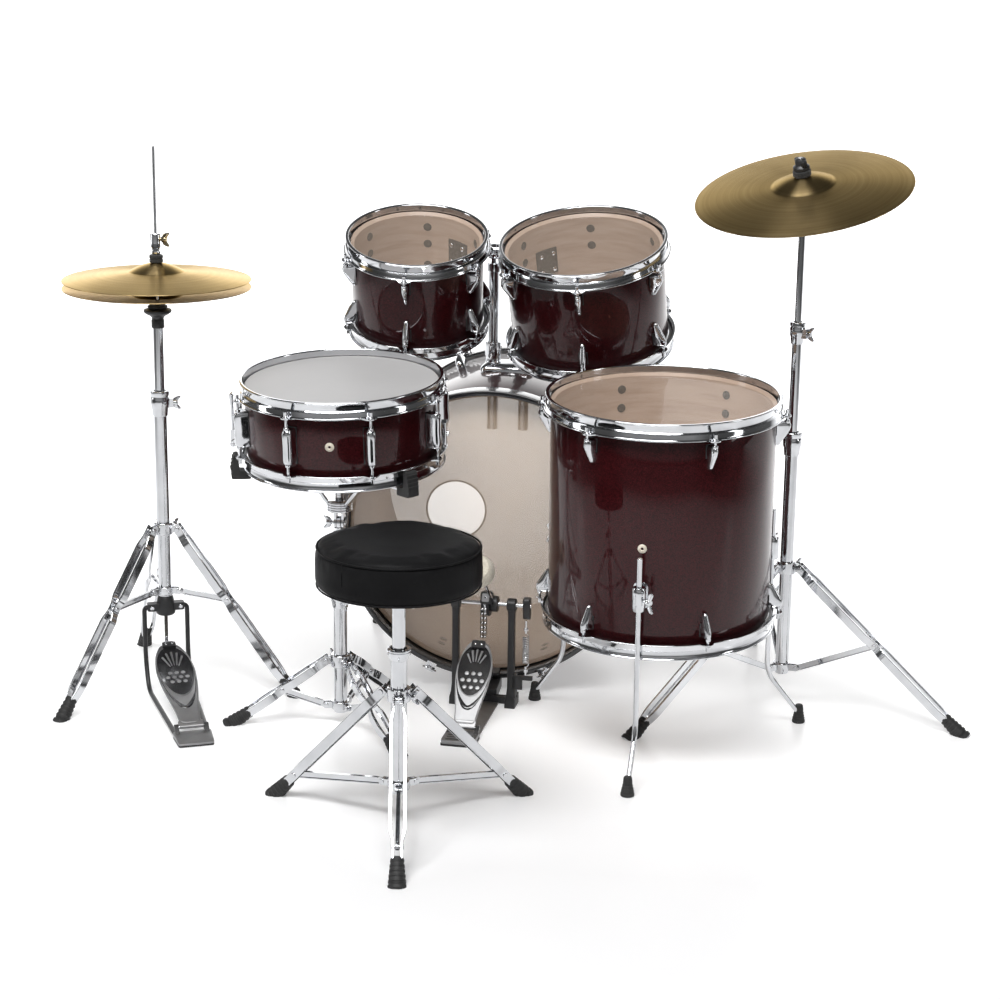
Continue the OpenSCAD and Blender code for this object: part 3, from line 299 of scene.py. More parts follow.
def bronze(name, shade):
    """Lathed cymbal metal: fine rings around the middle and highlights that fan out from it."""
    tree = Finish(name, Metallic=1.0, Anisotropic=0.8, Anisotropic_Rotation=0.25,
                  Specular_Tint=(1.0, 0.86, 0.62, 1))
    parts = tree.node("SeparateXYZ", tree.coords).outputs
    flat = tree.node("CombineXYZ", parts["X"])
    tree.links.new(parts["Y"], flat.inputs["Y"])
    length = tree.node("VectorMath", flat.outputs[0])
    length.operation = "LENGTH"
    radius = length.outputs["Value"]
    bands = tree.node("TexNoise", Scale=70.0, Detail=8.0, Roughness=0.75)
    bands.noise_dimensions = "1D"
    tree.links.new(radius, bands.inputs["W"])
    fine = bands.outputs["Fac"]
    tree.set("Base Color", tree.ramp(fine, [(level, tuple(shade * c for c in tint))
                                            for level, tint in BRONZE_TINTS]))
    tree.set("Roughness", tree.spread(tree.noise(16.0), 0.25, 0.37))
    groove = tree.maths("SINE", tree.maths("MULTIPLY", radius, 2 * math.pi / GROOVE_PITCH))
    tree.bump(tree.maths("ADD", tree.maths("MULTIPLY", groove, 0.55), fine), 0.22, 0.0005)
    tangent = tree.node("Tangent")
    tangent.direction_type = "RADIAL"
    tangent.axis = "Z"
    tree.set("Tangent", tangent.outputs[0])
    return tree.material


def vinyl():
    tree = Finish("seat_vinyl", Specular_IOR_Level=0.08)
    cloud = tree.noise(12.0)
    tree.set("Base Color", tree.ramp(cloud, [(0.3, (0.005, 0.005, 0.0055)), (0.7, (0.009, 0.009, 0.0095))]))
    tree.set("Roughness", tree.spread(cloud, 0.44, 0.54))
    tree.bump(tree.cells(620.0)["Distance"], 0.35, 0.0006)
    return tree.material


def studio_floor():
    tree = Finish("floor", Specular_IOR_Level=0.3)
    parts = tree.node("SeparateXYZ", tree.coords).outputs
    # painted shade: the floor turns dark behind the camera and far out to the sides, where only reflections
    # see it, in place of the unlit room around the kit
    near = tree.maths("MULTIPLY", tree.fade(parts["Y"], -4.2, -2.4),
                      tree.fade(tree.maths("ABSOLUTE", parts["X"]), 3.4, 2.3))
    floor_with_painted_shade = tree.ramp(near, [(0.0, (0.14, 0.14, 0.14)), (1.0, (0.86, 0.86, 0.865))])
    cloud = tree.noise(2.0)
    tint = tree.node("Mix")
    tint.data_type = "RGBA"
    tint.blend_type = "MULTIPLY"
    tint.inputs["Factor"].default_value = 1.0
    tree.links.new(floor_with_painted_shade, tint.inputs[6])
    tree.links.new(tree.ramp(cloud, greys((0.3, 0.985), (0.7, 1.0))), tint.inputs[7])
    tree.set("Base Color", tint.outputs[2])
    tree.set("Roughness", tree.spread(cloud, 0.26, 0.32))
    # painted light: the floor glows more and more from just in front of the kit towards the back, so it stays
    # white where the lamps leave it grey; near the kit this glow also lightens the shadows
    tree.shader.inputs["Emission Color"].default_value = (1, 1, 1, 1)
    tree.set("Emission Strength", tree.fade(parts["Y"], -0.6, 2.4))
    return tree.material


MATERIALS = {
    "wine_wrap": wine_wrap(),
    "wood": inner_wood(),
    "clear_film": film("clear_film", (0.62, 0.53, 0.45), 0.09, (0.05, 0.12)),
    "bass_film": film("bass_film", (0.62, 0.50, 0.39), 0.40, (0.10, 0.18)),
    "coated_film": mixed("coated_film", (0.40, 0.395, 0.395), (0.425, 0.42, 0.42), 9.0, (0.5, 0.65),
                         (900.0, 0.12, 0.0003)),
    "chrome": mixed("chrome", (0.62, 0.63, 0.65), (0.70, 0.71, 0.73), 30.0, (0.05, 0.11), Metallic=1.0),
    "black_lacquer": mixed("black_lacquer", (0.010, 0.010, 0.011), (0.016, 0.016, 0.017), 20.0,
                           (0.16, 0.24), Coat_Weight=0.6, Coat_Roughness=0.06),
    "black_casting": mixed("black_casting", (0.012, 0.012, 0.013), (0.022, 0.022, 0.023), 60.0,
                           (0.35, 0.5), (1500.0, 0.15, 0.0003)),
    "satin_plate": mixed("satin_plate", (0.29, 0.29, 0.295), (0.36, 0.36, 0.365), 40.0, (0.42, 0.52),
                         (1200.0, 0.08, 0.0002), Metallic=1.0),
    "rubber": mixed("rubber", (0.012, 0.012, 0.012), (0.022, 0.022, 0.022), 70.0, (0.55, 0.72),
                    (1100.0, 0.2, 0.0004)),
    "felt": mixed("felt", (0.55, 0.50, 0.40), (0.74, 0.69, 0.58), 260.0, (0.85, 0.98),
                  (1500.0, 0.8, 0.0012), Sheen_Weight=0.3),
    "black_felt": mixed("black_felt", (0.012, 0.012, 0.012), (0.03, 0.03, 0.03), 260.0, (0.85, 0.98),
                        (1500.0, 0.8, 0.0010), Sheen_Weight=0.2),
    "brass_tint": mixed("brass_tint", (0.42, 0.35, 0.22), (0.56, 0.48, 0.32), 60.0, (0.16, 0.26),
                        Metallic=1.0),
    "dark_screw": mixed("dark_screw", (0.04, 0.035, 0.03), (0.09, 0.08, 0.07), 200.0, (0.3, 0.5),
                        Metallic=0.6),
    "vent": mixed("vent", (0.62, 0.55, 0.44), (0.75, 0.70, 0.60), 200.0, (0.3, 0.45)),
    "bronze": bronze("bronze", 0.95),
    "hat_bronze": bronze("hat_bronze", 1.1),
    "seat_vinyl": vinyl(),
    "floor": studio_floor(),
}


# ---------------------------------------------------------------- mesh building

def corner_curve(before, corner, after, radius, most, steps):
    """The curve that rounds one corner. It takes no more than a share of either side."""
    back, ahead = before - corner, after - corner
    reach = min(radius, back.length * most, ahead.length * most)
    start, end = corner + back.normalized() * reach, corner + ahead.normalized() * reach
    shares = [i / steps for i in range(steps + 1)]
    return [start * (1 - t) ** 2 + corner * 2 * t * (1 - t) + end * t ** 2 for t in shares]


def smooth_path(points, radius, steps=8):
    """The points joined by straight lines, with each corner turned on a curve of about that radius."""
    points = [Vector(p) for p in points]
    path = [points[0]]
    for before, corner, after in zip(points, points[1:], points[2:]):
        path += corner_curve(before, corner, after, radius, 0.48, steps)
    path.append(points[-1])
    return path


def rounded(points, radius, steps=4):
    """A closed outline with its corners rounded."""
    points = [Vector(p) for p in points]
    outline = []
    for i, corner in enumerate(points):
        outline += corner_curve(points[i - 1], corner, points[(i + 1) % len(points)], radius, 0.45, steps)
    return outline


def rect(x0, y0, x1, y1, radius, steps):
    """Outline of a rectangle with rounded corners."""
    return rounded([(x0, y0), (x1, y0), (x1, y1), (x0, y1)], radius, steps)


def ring_at(outline, z, x=0.0):
    """A flat outline as a ring at a height, moved along X."""
    return [(x + p[0], p[1], z) for p in outline]


def arc(cx, cz, r, from_deg, to_deg, steps=6):
    turns = [math.radians(from_deg + (to_deg - from_deg) * i / steps) for i in range(steps + 1)]
    return [(cx + r * math.cos(a), cz + r * math.sin(a)) for a in turns]


def circle(r, count):
    turns = [2 * math.pi * k / count for k in range(count)]
    return [(r * math.cos(a), r * math.sin(a)) for a in turns]


def bulging(base, rows, count, power, square=1.0):
    """Rings of a casting that stands out from base. Rows are its height, its reach and its half width."""
    turns = [math.radians(-90 + 180 * k / (count - 1)) for k in range(count)]
    return [[(base + reach * max(math.cos(a), 0) ** power,
              half * math.copysign(abs(math.sin(a)) ** square, math.sin(a)), z) for a in turns]
            for z, reach, half in rows]


class Piece:
    """One visible piece, drawn in millimetres in its own frame."""

    def __init__(self, name, place=HERE):
        self.name = name
        self.place = place
        self.verts = []
        self.faces = []
        self.looks = []
        self.names = []

    def look(self, material):
        if material not in self.names:
            self.names.append(material)
        return self.names.index(material)

    def add(self, verts, faces, material, at=HERE):
        base = len(self.verts)
        self.verts += [at @ Vector(v) for v in verts]
        self.faces += [tuple(base + i for i in face) for face in faces]
        self.looks += [self.look(material)] * len(faces)

    def lathe(self, profile, material, at=HERE, steps=48, closed=False, skins=None):
        """Turns a profile of (r, z) about +Z. skins names another material for each segment."""
        verts, rows = [], []
        for r, z in profile:
            if r < 1e-6:
                rows.append([len(verts)] * steps)
                verts.append((0, 0, z))
            else:
                rows.append(list(range(len(verts), len(verts) + steps)))
                verts += [(x, y, z) for x, y in circle(r, steps)]
        first = len(self.verts)
        self.verts += [at @ Vector(v) for v in verts]
        for k, (a, b) in enumerate(zip(rows, rows[1:] + rows[:1] if closed else rows[1:])):
            for i in range(steps):
                j = (i + 1) % steps
                # a point on the axis takes two corners of its face
                face = list(dict.fromkeys((a[i], a[j], b[j], b[i])))
                if len(face) > 2:
                    self.faces.append(tuple(first + v for v in face))
                    self.looks.append(self.look(skins[k] if skins else material))

    def drum(self, r, z0, z1, material, at=HERE, edge=0.6, steps=32):
        """A turned solid cylinder with rounded edges."""
        edge = min(edge, (z1 - z0) / 2.01, r / 2.01)
        self.lathe([(0, z0), *arc(r - edge, z0 + edge, edge, -90, 0, 3),
                    *arc(r - edge, z1 - edge, edge, 0, 90, 3), (0, z1)], material, at, steps)

    def pipe(self, outer, inner, z0, z1, material, at=HERE, edge=0.5, steps=48):
        self.lathe([(inner, z0 + edge), (inner + edge, z0), (outer - edge, z0), (outer, z0 + edge),
                    (outer, z1 - edge), (outer - edge, z1), (inner + edge, z1), (inner, z1 - edge)],
                   material, at, steps, closed=True)

    def loft(self, rings, material, at=HERE, ends=True, loop=False):
        count = len(rings[0])
        verts = [v for ring in rings for v in ring]
        faces = []
        pairs = len(rings) if loop else len(rings) - 1
        for k in range(pairs):
            a, b = k * count, ((k + 1) % len(rings)) * count
            for i in range(count):
                j = (i + 1) % count
                faces.append((a + i, a + j, b + j, b + i))
        if ends and not loop:
            faces.append(tuple(range(count))[::-1])
            faces.append(tuple(range((len(rings) - 1) * count, len(rings) * count)))
        self.add(verts, faces, material, at)

    def rod(self, path, r, material, at=HERE, sides=16, loop=False):
        """A round bar along a path. r is one radius, or one for each point."""
        path = [Vector(p) for p in path]
        radii = r if isinstance(r, (list, tuple)) else [r] * len(path)
        rings = []
        up = None
        for i, point in enumerate(path):
            if loop:
                ahead = (path[(i + 1) % len(path)] - path[i - 1]).normalized()
            else:
                ahead = (path[min(i + 1, len(path) - 1)] - path[max(i - 1, 0)]).normalized()
            if up is None:
                up = ahead.orthogonal()
            up = (up - ahead * up.dot(ahead)).normalized()
            side = ahead.cross(up)
            rings.append([point + (up * c + side * s) * radii[i] for c, s in circle(1, sides)])
        self.loft(rings, material, at, loop=loop)

    def prism(self, outline, z0, z1, material, at=HERE):
        verts = [(p[0], p[1], z) for z in (z0, z1) for p in outline]
        n = len(outline)
        faces = [tuple(range(n))[::-1], tuple(range(n, 2 * n))]
        faces += [(i, (i + 1) % n, n + (i + 1) % n, n + i) for i in range(n)]
        self.add(verts, faces, material, at)

    def block(self, lo, hi, material, at=HERE):
        (x0, y0, z0), (x1, y1, z1) = lo, hi
        self.prism([(x0, y0), (x1, y0), (x1, y1), (x0, y1)], z0, z1, material, at)

    def bar(self, a, b, width, y0, y1, material, at=HERE):
        """A flat bar with round ends in the XZ plane, from [x, z] to [x, z]."""
        a, b = Vector(a), Vector(b)
        heading = math.atan2(b[1] - a[1], b[0] - a[0])
        outline = []
        for centre, start in ((a, heading + math.pi / 2), (b, heading - math.pi / 2)):
            outline += [(centre[0] + width / 2 * math.cos(start + math.pi * i / 10),
                         centre[1] + width / 2 * math.sin(start + math.pi * i / 10)) for i in range(11)]
        # the prism's height runs along -Y after the turn
        self.prism(outline, -y1, -y0, material, at @ turn("X", 90))

    def pin(self, x, z, r, y0, y1, material, at=HERE, edge=0.8):
        """A pin along Y with rounded heads."""
        self.drum(r, -y1, -y0, material, at @ shift(x, 0, z) @ turn("X", 90), edge, 24)

    def rests_on_floor(self):
        """Cuts off what would reach below the floor, by laying it flat."""
        back = self.place.inverted()
        for i, v in enumerate(self.verts):
            world = self.place @ (v * MM)
            if world.z < 0:
                world.z = 0
                self.verts[i] = (back @ world) / MM

    def make(self, body, nodes=(), bevel=0.0, sharp=38):
        mesh = bpy.data.meshes.new(self.name)
        mesh.from_pydata([v * MM for v in self.verts], [], self.faces)
        for name in self.names:
            mesh.materials.append(MATERIALS[name])
        mesh.polygons.foreach_set("material_index", self.looks)
        mesh.polygons.foreach_set("use_smooth", [True] * len(self.faces))
        work = bmesh.new()
        work.from_mesh(mesh)
        bmesh.ops.recalc_face_normals(work, faces=work.faces)
        work.to_mesh(mesh)
        work.free()
        mesh.set_sharp_from_angle(angle=math.radians(sharp))
        obj = bpy.data.objects.new(self.name, mesh)
        bpy.context.collection.objects.link(obj)
        obj.matrix_world = self.place
        if bevel:
            edges = obj.modifiers.new("edges", "BEVEL")
            edges.width = bevel * MM
            edges.segments = 2
            edges.limit_method = "ANGLE"
            edges.angle_limit = math.radians(40)
            edges.harden_normals = True
        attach(obj, body)
        if nodes:
            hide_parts(*nodes)
        return obj


# ---------------------------------------------------------------- shared hardware

def wing_bolt(piece, at, start, reach, span, material="chrome"):
    """Wing bolt along +X: a hub and two rounded wings."""
    along = at @ turn("Y", 90)
    piece.drum(3.4, start, start + reach - 5, material, along, 0.3, 16)
    piece.drum(5.8, start + reach - 9, start + reach + 1, material, along, 1.6, 24)
    for side in (-1, 1):
        rings = []
        for step in range(7):
            t = step / 6
            x = start + reach - 3 + 5 * t ** 1.5
            width = 4.2 + 2.6 * math.sin(math.pi * t * 0.75)
            if step == 6:
                width *= 0.55
            thick = 2.4 - 0.5 * t
            z = side * (2 + (span / 2 - 2) * t)
            rings.append([(x + width * c, thick * s, z + side * 0.8 * c) for c, s in circle(1, 14)])
        piece.loft(rings, material, at)


def height_clamp(piece, tube_r, top, height, bolt_turn, at=HERE):
    """Split clamp sleeve at the top of a tube, with ears and a wing bolt."""
    outer = tube_r + 4.5
    low = top - height
    piece.lathe([(tube_r - 0.3, low), (tube_r + 1.0, low), *arc(tube_r + 1.0, low + 1.4, 1.4, -90, 0, 4),
                 (outer - 0.6, low + height * 0.34), (outer + 0.8, low + height * 0.42),
                 (outer + 1.4, top - height * 0.28), (outer + 0.4, top - height * 0.24),
                 (outer + 0.4, top - height * 0.2), (outer + 1.8, top - height * 0.16),
                 *arc(outer + 0.2, top - 1.6, 1.6, 0, 90, 4), (tube_r - 0.3, top)], "chrome", at, 40)
    eye = at @ turn("Z", bolt_turn) @ shift(0, 0, top - height / 2)
    for side in (-1, 1):
        piece.block((outer - 3, side * 3.4 - 2.2, -9), (outer + 7.5, side * 3.4 + 2.2, 9), "chrome", eye)
    wing_bolt(piece, eye, tube_r, 20, 26)


def sleeve(piece, tube_r, z, height, at=HERE):
    """Plain collar sleeve that runs on a tube."""
    outer = tube_r + 6
    low, top = z - height / 2, z + height / 2
    piece.lathe([(tube_r + 0.05, low), *arc(outer - 2, low + 2, 2, -90, 0, 4),
                 *arc(outer - 2, top - 2, 2, 0, 90, 4), (tube_r + 0.05, top)], "chrome", at, 40,
                closed=True)


def collar(piece, tube_r, z, hinge_r, first, at=HERE):
    sleeve(piece, tube_r, z, 24, at)
    for i in range(3):
        eye = at @ turn("Z", first + 120 * i)
        for side in (-1, 1):
            piece.bar((tube_r + 7.6, z), (hinge_r, z), 14, side * 3.6 - 1.6, side * 3.6 + 1.6, "chrome", eye)
    wing_bolt(piece, at @ turn("Z", first + 60) @ shift(0, 0, z), tube_r + 4, 15, 24)


def hub(piece, tube_r, z, hinge_r, first, at=HERE):
    piece.lathe([(tube_r - 0.5, z - 8), *arc(tube_r + 3.4, z - 6.4, 1.6, -90, 0, 4),
                 *arc(tube_r + 3.4, z + 6.4, 1.6, 0, 90, 4), (tube_r - 0.5, z + 8)], "chrome", at, 40)
    for i in range(3):
        eye = at @ turn("Z", first + 120 * i)
        for side in (-1, 1):
            piece.bar((tube_r + 6.4, z), (hinge_r, z), 12, side * 4.7 - 0.9, side * 4.7 + 0.9, "chrome", eye)
        piece.pin(hinge_r, z, 4.6, -6.8, -5.6, "chrome", eye)
        piece.pin(hinge_r, z, 4.6, 5.6, 6.8, "chrome", eye)


def rubber_foot(piece, z0, z1, r0, r1, at=HERE):
    """Tapered rubber tip with raised rings, widening from z0 to z1."""
    profile = [(0, z0), (r0 - 1.5, z0), (r0, z0 + 1.5)]
    rings = 5
    start, end = z0 + 3, z1 - 10
    for i in range(rings):
        low = start + (end - start) * i / rings
        high = start + (end - start) * (i + 0.62) / rings
        r = r0 + (r1 - r0) * 0.75 * i / rings
        profile += [(r, low), (r + 1.1, low + 0.6), (r + 1.3, high - 0.6), (r + 0.3, high)]
    profile += [(r1 - 2.5, z1 - 9.5), (r1, z1 - 7.5), (r1, z1 - 1.5), (r1 - 1.5, z1), (0, z1)]
    piece.lathe(profile, "rubber", at, 32)


STRIP_W = 16.0
STRIP_T = 2.4
STRIP_NEAR = 7.45       # from the leg's middle to a strip's, at the joints and at the bows
STRIP_FAR = 13.25


def strip_ring(x, y, side, fold):
    """Section of a leg's strip: a shallow channel whose edges fold towards the leg's middle."""
    w, t = STRIP_W / 2, STRIP_T / 2
    half = [(w - 0.7, t), (w, t - 0.7), (w, -t - fold), (w - 1.7, -t - fold), (w - 2.6, -t)]
    outline = half + [(-z, out) for z, out in reversed(half)]
    return [(x, side * (y + out), z) for z, out in outline]


def tripod_leg(piece, hinge, foot_r, pinch, at):
    """Two strips that bow apart between the hinge, the strut's joint and the rubber foot."""
    length = math.hypot(foot_r - hinge[0], hinge[1])
    drop = math.degrees(math.atan2(hinge[1], foot_r - hinge[0]))
    frame_at = at @ shift(hinge[0], 0, hinge[1]) @ turn("Y", drop)
    joint_x, end = length * pinch, length - 38
    near, far = STRIP_NEAR, STRIP_FAR
    spots = [(-8, near), (16, near), (34, far), (joint_x - 24, far), (joint_x - 9, near)]
    if end - joint_x > 60:
        spots += [(joint_x + 9, near), (joint_x + 24, far), (end - 24, far)]
    spots.append((end, near))
    path = smooth_path([(x, y, 0) for x, y in spots], 9, 5)
    for side in (-1, 1):
        rings = []
        for p in path:
            spread = min(max((p.y - near) / (far - near), 0), 1)
            rings.append(strip_ring(p.x, p.y, side, 0.2 + 2.2 * spread))
        piece.loft(rings, "chrome", frame_at)
    piece.pin(0, 0, 3, -9.6, 9.6, "chrome", frame_at)
    for x, r in ((0, 5), (joint_x, 4.4)):
        for lo, hi in both_sides(8.4, 10.4):
            piece.pin(x, 0, r, lo, hi, "chrome", frame_at)
    piece.pin(joint_x, 0, 2.6, -9, 9, "chrome", frame_at)
    rubber_foot(piece, length - 46, length + 10, 10.4, 15.4, frame_at @ turn("Y", 90))


def tripod_strut(piece, hub_at, end, at):
    """Channel-shaped strut from the hub to the leg's pinch."""
    a, b = Vector((hub_at[0], hub_at[1])), Vector(end)
    heading = math.degrees(math.atan2(b[1] - a[1], b[0] - a[0]))
    span = (b - a).length
    along = at @ shift(a[0], 0, a[1]) @ turn("Y", -heading)
    piece.bar((0, 0), (span, 0), 12, -1.2, 1.2, "chrome", along)
    for z in (-5.2, 5.2):
        piece.block((9, -3.4, z - 0.8), (span - 9, 3.4, z + 0.8), "chrome", along)
    for x in (0, span):
        piece.pin(x, 0, 6, -3.4, 3.4, "chrome", along)
    piece.pin(0, 0, 3, -5.6, 5.6, "chrome", along)


def leg_point(hinge, foot_r, share):
    return (hinge[0] + (foot_r - hinge[0]) * share, hinge[1] * (1 - share))


# ---------------------------------------------------------------- drums

RIM_Z = 13.0
ROD_OUT = 18.0
LUG_TOP = 27.0
WALL = 7.0
DOUBLE_LUG_DEPTH = 150.0    # a shallower shell has lugs that serve both its hoops
BRACKET_SHARE = 0.42        # of a hanging tom's depth, down to its bracket


class Drum:
    """Size, tilt and lugs of one drum. Inside its place, z = 0 is the top bearing edge."""

    def __init__(self, name, diameter, depth, tilt, lugs, first):
        self.name = name
        self.r = diameter / 2
        self.depth = depth
        self.turns = [first + 360 * i / lugs for i in range(lugs)]
        self.ends = both_ends(-depth)
        # the two heads mirror each other, so their box's middle is the drum's
        self.place = (shift(*middle(name + "_heads")) @ turn("Y", tilt[1]) @ turn("X", tilt[0])
                      @ shift(0, 0, depth / 2 * MM))


SMALL = Drum("small_tom", 254, 177.8, (17.5, 2), 6, -90)
MEDIUM = Drum("medium_tom", 304.8, 203.2, (16.3, -3.8), 6, -90)
FLOOR = Drum("floor_tom", 406.4, 406.4, (2.5, 0), 6, -63)
SNARE = Drum("snare", 355.6, 139.7, (4, -1), 8, -109)
SMALL_ARM = 57
MEDIUM_ARM = 128
VENT = {"floor_tom": (-95.4, -215.0), "snare": (-86.5, -69.85)}


def shell_wall(piece, r, a, b, steps):
    """A shell from a to b, wrapped outside, bare wood inside and on its bevelled edges."""
    profile = [(r, a + 1.6), (r, b - 1.6), (r - 0.4, b - 0.8), (r - 1.5, b), (r - WALL, b + 1.5 - WALL),
               (r - WALL, a + WALL - 1.5), (r - 1.5, a), (r - 0.4, a + 0.8)]
    piece.lathe(profile, "wine_wrap", steps=steps, closed=True, skins=["wine_wrap"] + ["wood"] * 7)


def inner_screw(piece, r, z, at):
    """A lug's screw and washer on the inside of a shell."""
    piece.lathe([(0, 2.6), (3.2, 2.6), (5.6, 1.8), (8.2, 0.9), (8.2, -0.5)], "dark_screw",
                at @ shift(r - WALL + 0.2, 0, z) @ turn("Y", -90), 24)


def make_shell(drum, body, plate_turn=None):
    r, depth = drum.r, drum.depth
    piece = Piece(drum.name + "_shell_skin", drum.place)
    shell_wall(piece, r, -depth, 0, 160)
    # double-ended lugs are counted from the top end only
    ends, screws = (drum.ends, (-30, -66)) if depth > DOUBLE_LUG_DEPTH else ((HERE,), (-45, -95))
    for t in drum.turns:
        for end in ends:
            for z in screws:
                inner_screw(piece, r, z, end @ turn("Z", t))
    if plate_turn is not None:
        at = turn("Z", plate_turn) @ shift(r - WALL - 2.2, 0, -depth * BRACKET_SHARE)
        piece.prism(rect(-2, -24, 2.6, 24, 0.8, 2), -27, 27, "dark_screw", at)
        for y in (-14, 14):
            for z in (-17, 17):
                piece.drum(4.5, -1, 3, "chrome", at @ shift(-3, y, z) @ turn("Y", -90), 1, 16)
    if drum.name in VENT:
        azimuth, z = VENT[drum.name]
        at = turn("Z", azimuth) @ shift(r, 0, z) @ turn("Y", 90)
        piece.lathe([(2.6, -WALL), (2.6, 1.2), (3.6, 2.2), (6.4, 1.8), (8.2, 0.4), (8.2, -0.6), (4, -0.6),
                     (4, -WALL)], "vent", at, 32, closed=True)
        piece.drum(2.6, -WALL, -0.5, "dark_screw", at)
    piece.make(body, [drum.name + "_shell"])


def make_heads(drum, body, top, bottom="clear_film"):
    """Film over each bearing edge and the metal ring that the hoop presses down."""
    r = drum.r
    piece = Piece(drum.name + "_heads_skin", drum.place)
    for end, skin in zip(drum.ends, (top, bottom)):
        piece.lathe([(0, 0.35), (r - 9, 0.35), (r - 3, 0.25), (r - 0.5, -0.3), (r + 0.9, -2.4),
                     (r + 1.1, -7.5), (r + 0.7, -7.5), (r + 0.5, -2.2), (r - 0.9, -0.5), (r - 3, 0.0),
                     (r - 9, 0.1), (0, 0.1)], skin, end, 160)
        piece.lathe([(r + 1.2, -6.2), (r + 5.6, -6.2), (r + 6, -7), (r + 6, -10.4), (r + 5.2, -11),
                     (r + 1.2, -11)], "satin_plate", end, 160, closed=True)
    piece.make(body, [drum.name + "_heads"])


def make_hoops(drum, body):
    """Triple-flanged hoops: rolled rim, wall, and a foot flange that swells into ears at the rods."""
    r = drum.r
    piece = Piece(drum.name + "_hoops_skin", drum.place)
    rolled_rim = arc(5.2, RIM_Z - 2.2, 2.2, 180, 90, 5) + arc(8.3, RIM_Z - 1.7, 1.7, 90, -60, 6)
    wall_outside = [(6.4, 9.8), (5.4, 8.2), (5.4, -3.0), (6.6, -4.4), (9.4, -4.8), (10.4, -6.4),
                    (10.4, -13.6)]
    foot = [(11.6, -15.2), (13.4, -15.5), *arc(12.9, -16.6, 1.1, 60, -90, 4), (9.4, -17.6)]
    wall_inside = [(8, -16.4), (8, -7.8), (7.2, -6.4), (4.2, -6), (3, -4.8)]
    profile = [(r + out, z) for out, z in [(3, 8)] + rolled_rim + wall_outside + foot + wall_inside]
    half_ear = [(8.5, -17), (13, -15), (22, -8.5), (25, -4)]
    ear = rounded([(r + x, y) for x, y in half_ear + [(x, -y) for x, y in reversed(half_ear)]], 5, 4)
    for end in drum.ends:
        piece.lathe(profile, "chrome", end, 160, closed=True)
        for t in drum.turns:
            piece.prism(ear, -17.7, -15.5, "chrome", end @ turn("Z", t))
    piece.make(body, [drum.name + "_hoops"], bevel=0.5)


def tension_rod(piece, r, to_z, at):
    spot = at @ shift(r + ROD_OUT, 0, 0)
    piece.lathe([(0, -13.8), (6.2, -13.8), (6.6, -14.4), (6.4, -15.3), (0, -15.3)], "chrome", spot, 24)
    piece.drum(4.4, -13.9, -11.6, "chrome", spot, 0.8, 20)
    piece.prism(rect(-3, -3, 3, 3, 0.7, 2), -12, -4.6, "chrome", spot)
    piece.drum(2.6, to_z - 2, -13.9, "chrome", spot, 0.3, 14)


def small_lug(piece, r, at):
    """Teardrop lug: a round nose under the rod that sweeps down and narrows onto the shell."""
    rows = [(0, 17, 3.4), (0.6, 21.5, 6.2), (2.0, 24.0, 7.3), (6, 25.2, 7.9), (11, 25.0, 8.0),
            (16, 23.2, 7.8), (22, 19.8, 7.2), (29, 15.6, 6.4), (36, 11.4, 5.6), (41, 8.4, 4.9),
            (44, 6.0, 3.8), (45, 3.2, 2.0)]
    rows = [(-LUG_TOP - down, out + 1, half) for down, out, half in rows]
    piece.loft(bulging(r - 1, rows, 18, 0.8), "chrome", at)
    piece.drum(5.2, -LUG_TOP - 3, -LUG_TOP + 3.2, "chrome", at @ shift(r + ROD_OUT, 0, 0), 1.2, 24)
    # gasket between the lug and the shell
    piece.prism(rect(r - 1, -8.8, r + 1.1, 8.8, 0.5, 2), -LUG_TOP - 25, -LUG_TOP + 0.4, "rubber", at)
    tension_rod(piece, r, -LUG_TOP, at)


def teeth(piece, at, count, first, r0, r1, z, thick):
    """A ring of ratchet teeth on a disc."""
    for k in range(count):
        piece.rod([(r0, 0, z), (r1, 0, z)], thick, "chrome", at @ turn("Z", first + 360 / count * k), 6)


def tom_lugs(piece, drum):
    for end in drum.ends:
        for t in drum.turns:
            small_lug(piece, drum.r, end @ turn("Z", t))


def make_tom_hardware(drum, tilt_joint, arm_turn, body):
    """Lugs, shell bracket, and the arm with its half of the ratchet tilter."""
    hinge = joint_at(tilt_joint)
    back = drum.place.inverted()
    local_hinge = (back @ hinge) / MM
    piece = Piece(drum.name + "_lugs_skin", drum.place)
    tom_lugs(piece, drum)
    r, z = drum.r, -drum.depth * BRACKET_SHARE
    at = turn("Z", arm_turn)
    piece.prism(rect(-22, -26, 22, 26, 9, 5), 0, 4, "chrome",
                at @ shift(r + 0.6, 0, z) @ turn("Y", 90) @ turn("Z", 90))
    piece.lathe([(0, 4), (19, 4), (18, 8), (13, 12.5), (11, 14), (0, 14)], "chrome",
                at @ shift(r, 0, z) @ turn("Y", 90), 40)
    for y in (-14, 14):
        for dz in (-19, 19):
            piece.drum(3.6, 2, 6.6, "chrome", at @ shift(r, y, z + dz) @ turn("Y", 90), 1, 18)
    grip = polar(r + 9, arm_turn, z)
    arm = (grip - local_hinge).normalized()
    root = local_hinge + arm * 24
    bend = grip.lerp(root, 0.45) + Vector((0, 0, -3))
    piece.rod(smooth_path([root, bend, grip], 22), 6.3, "chrome", sides=24)
    # the tilter is built level, at the hinge, in the world's directions
    level = shift(*local_hinge) @ back.to_3x3().to_4x4()
    disc = level @ turn("Y", 90)
    for lo, hi in both_sides(5.5, 10.7):
        piece.drum(15.4, lo, hi, "chrome", disc, 1.2, 40)
    for z in (-5.4, 5.4):
        teeth(piece, disc, 24, 0, 10.5, 15.0, z, 0.7)
    piece.pin(0, 0, 7.2, 10, 13, "chrome", level @ turn("Z", -90), 1.4)
    wing_bolt(piece, level @ turn("Z", 180), 10, 18, 26)
    heading = (level.to_3x3().inverted() @ arm).to_track_quat("Z", "X").to_matrix().to_4x4()
    piece.lathe([(0, 15.5), (9.4, 15.5), (11, 17), (11, 24), (9.6, 29), (7, 33), (0, 33)], "chrome",
                level @ heading, 32)
    piece.make(body, [drum.name + "_lugs"], bevel=0.4)


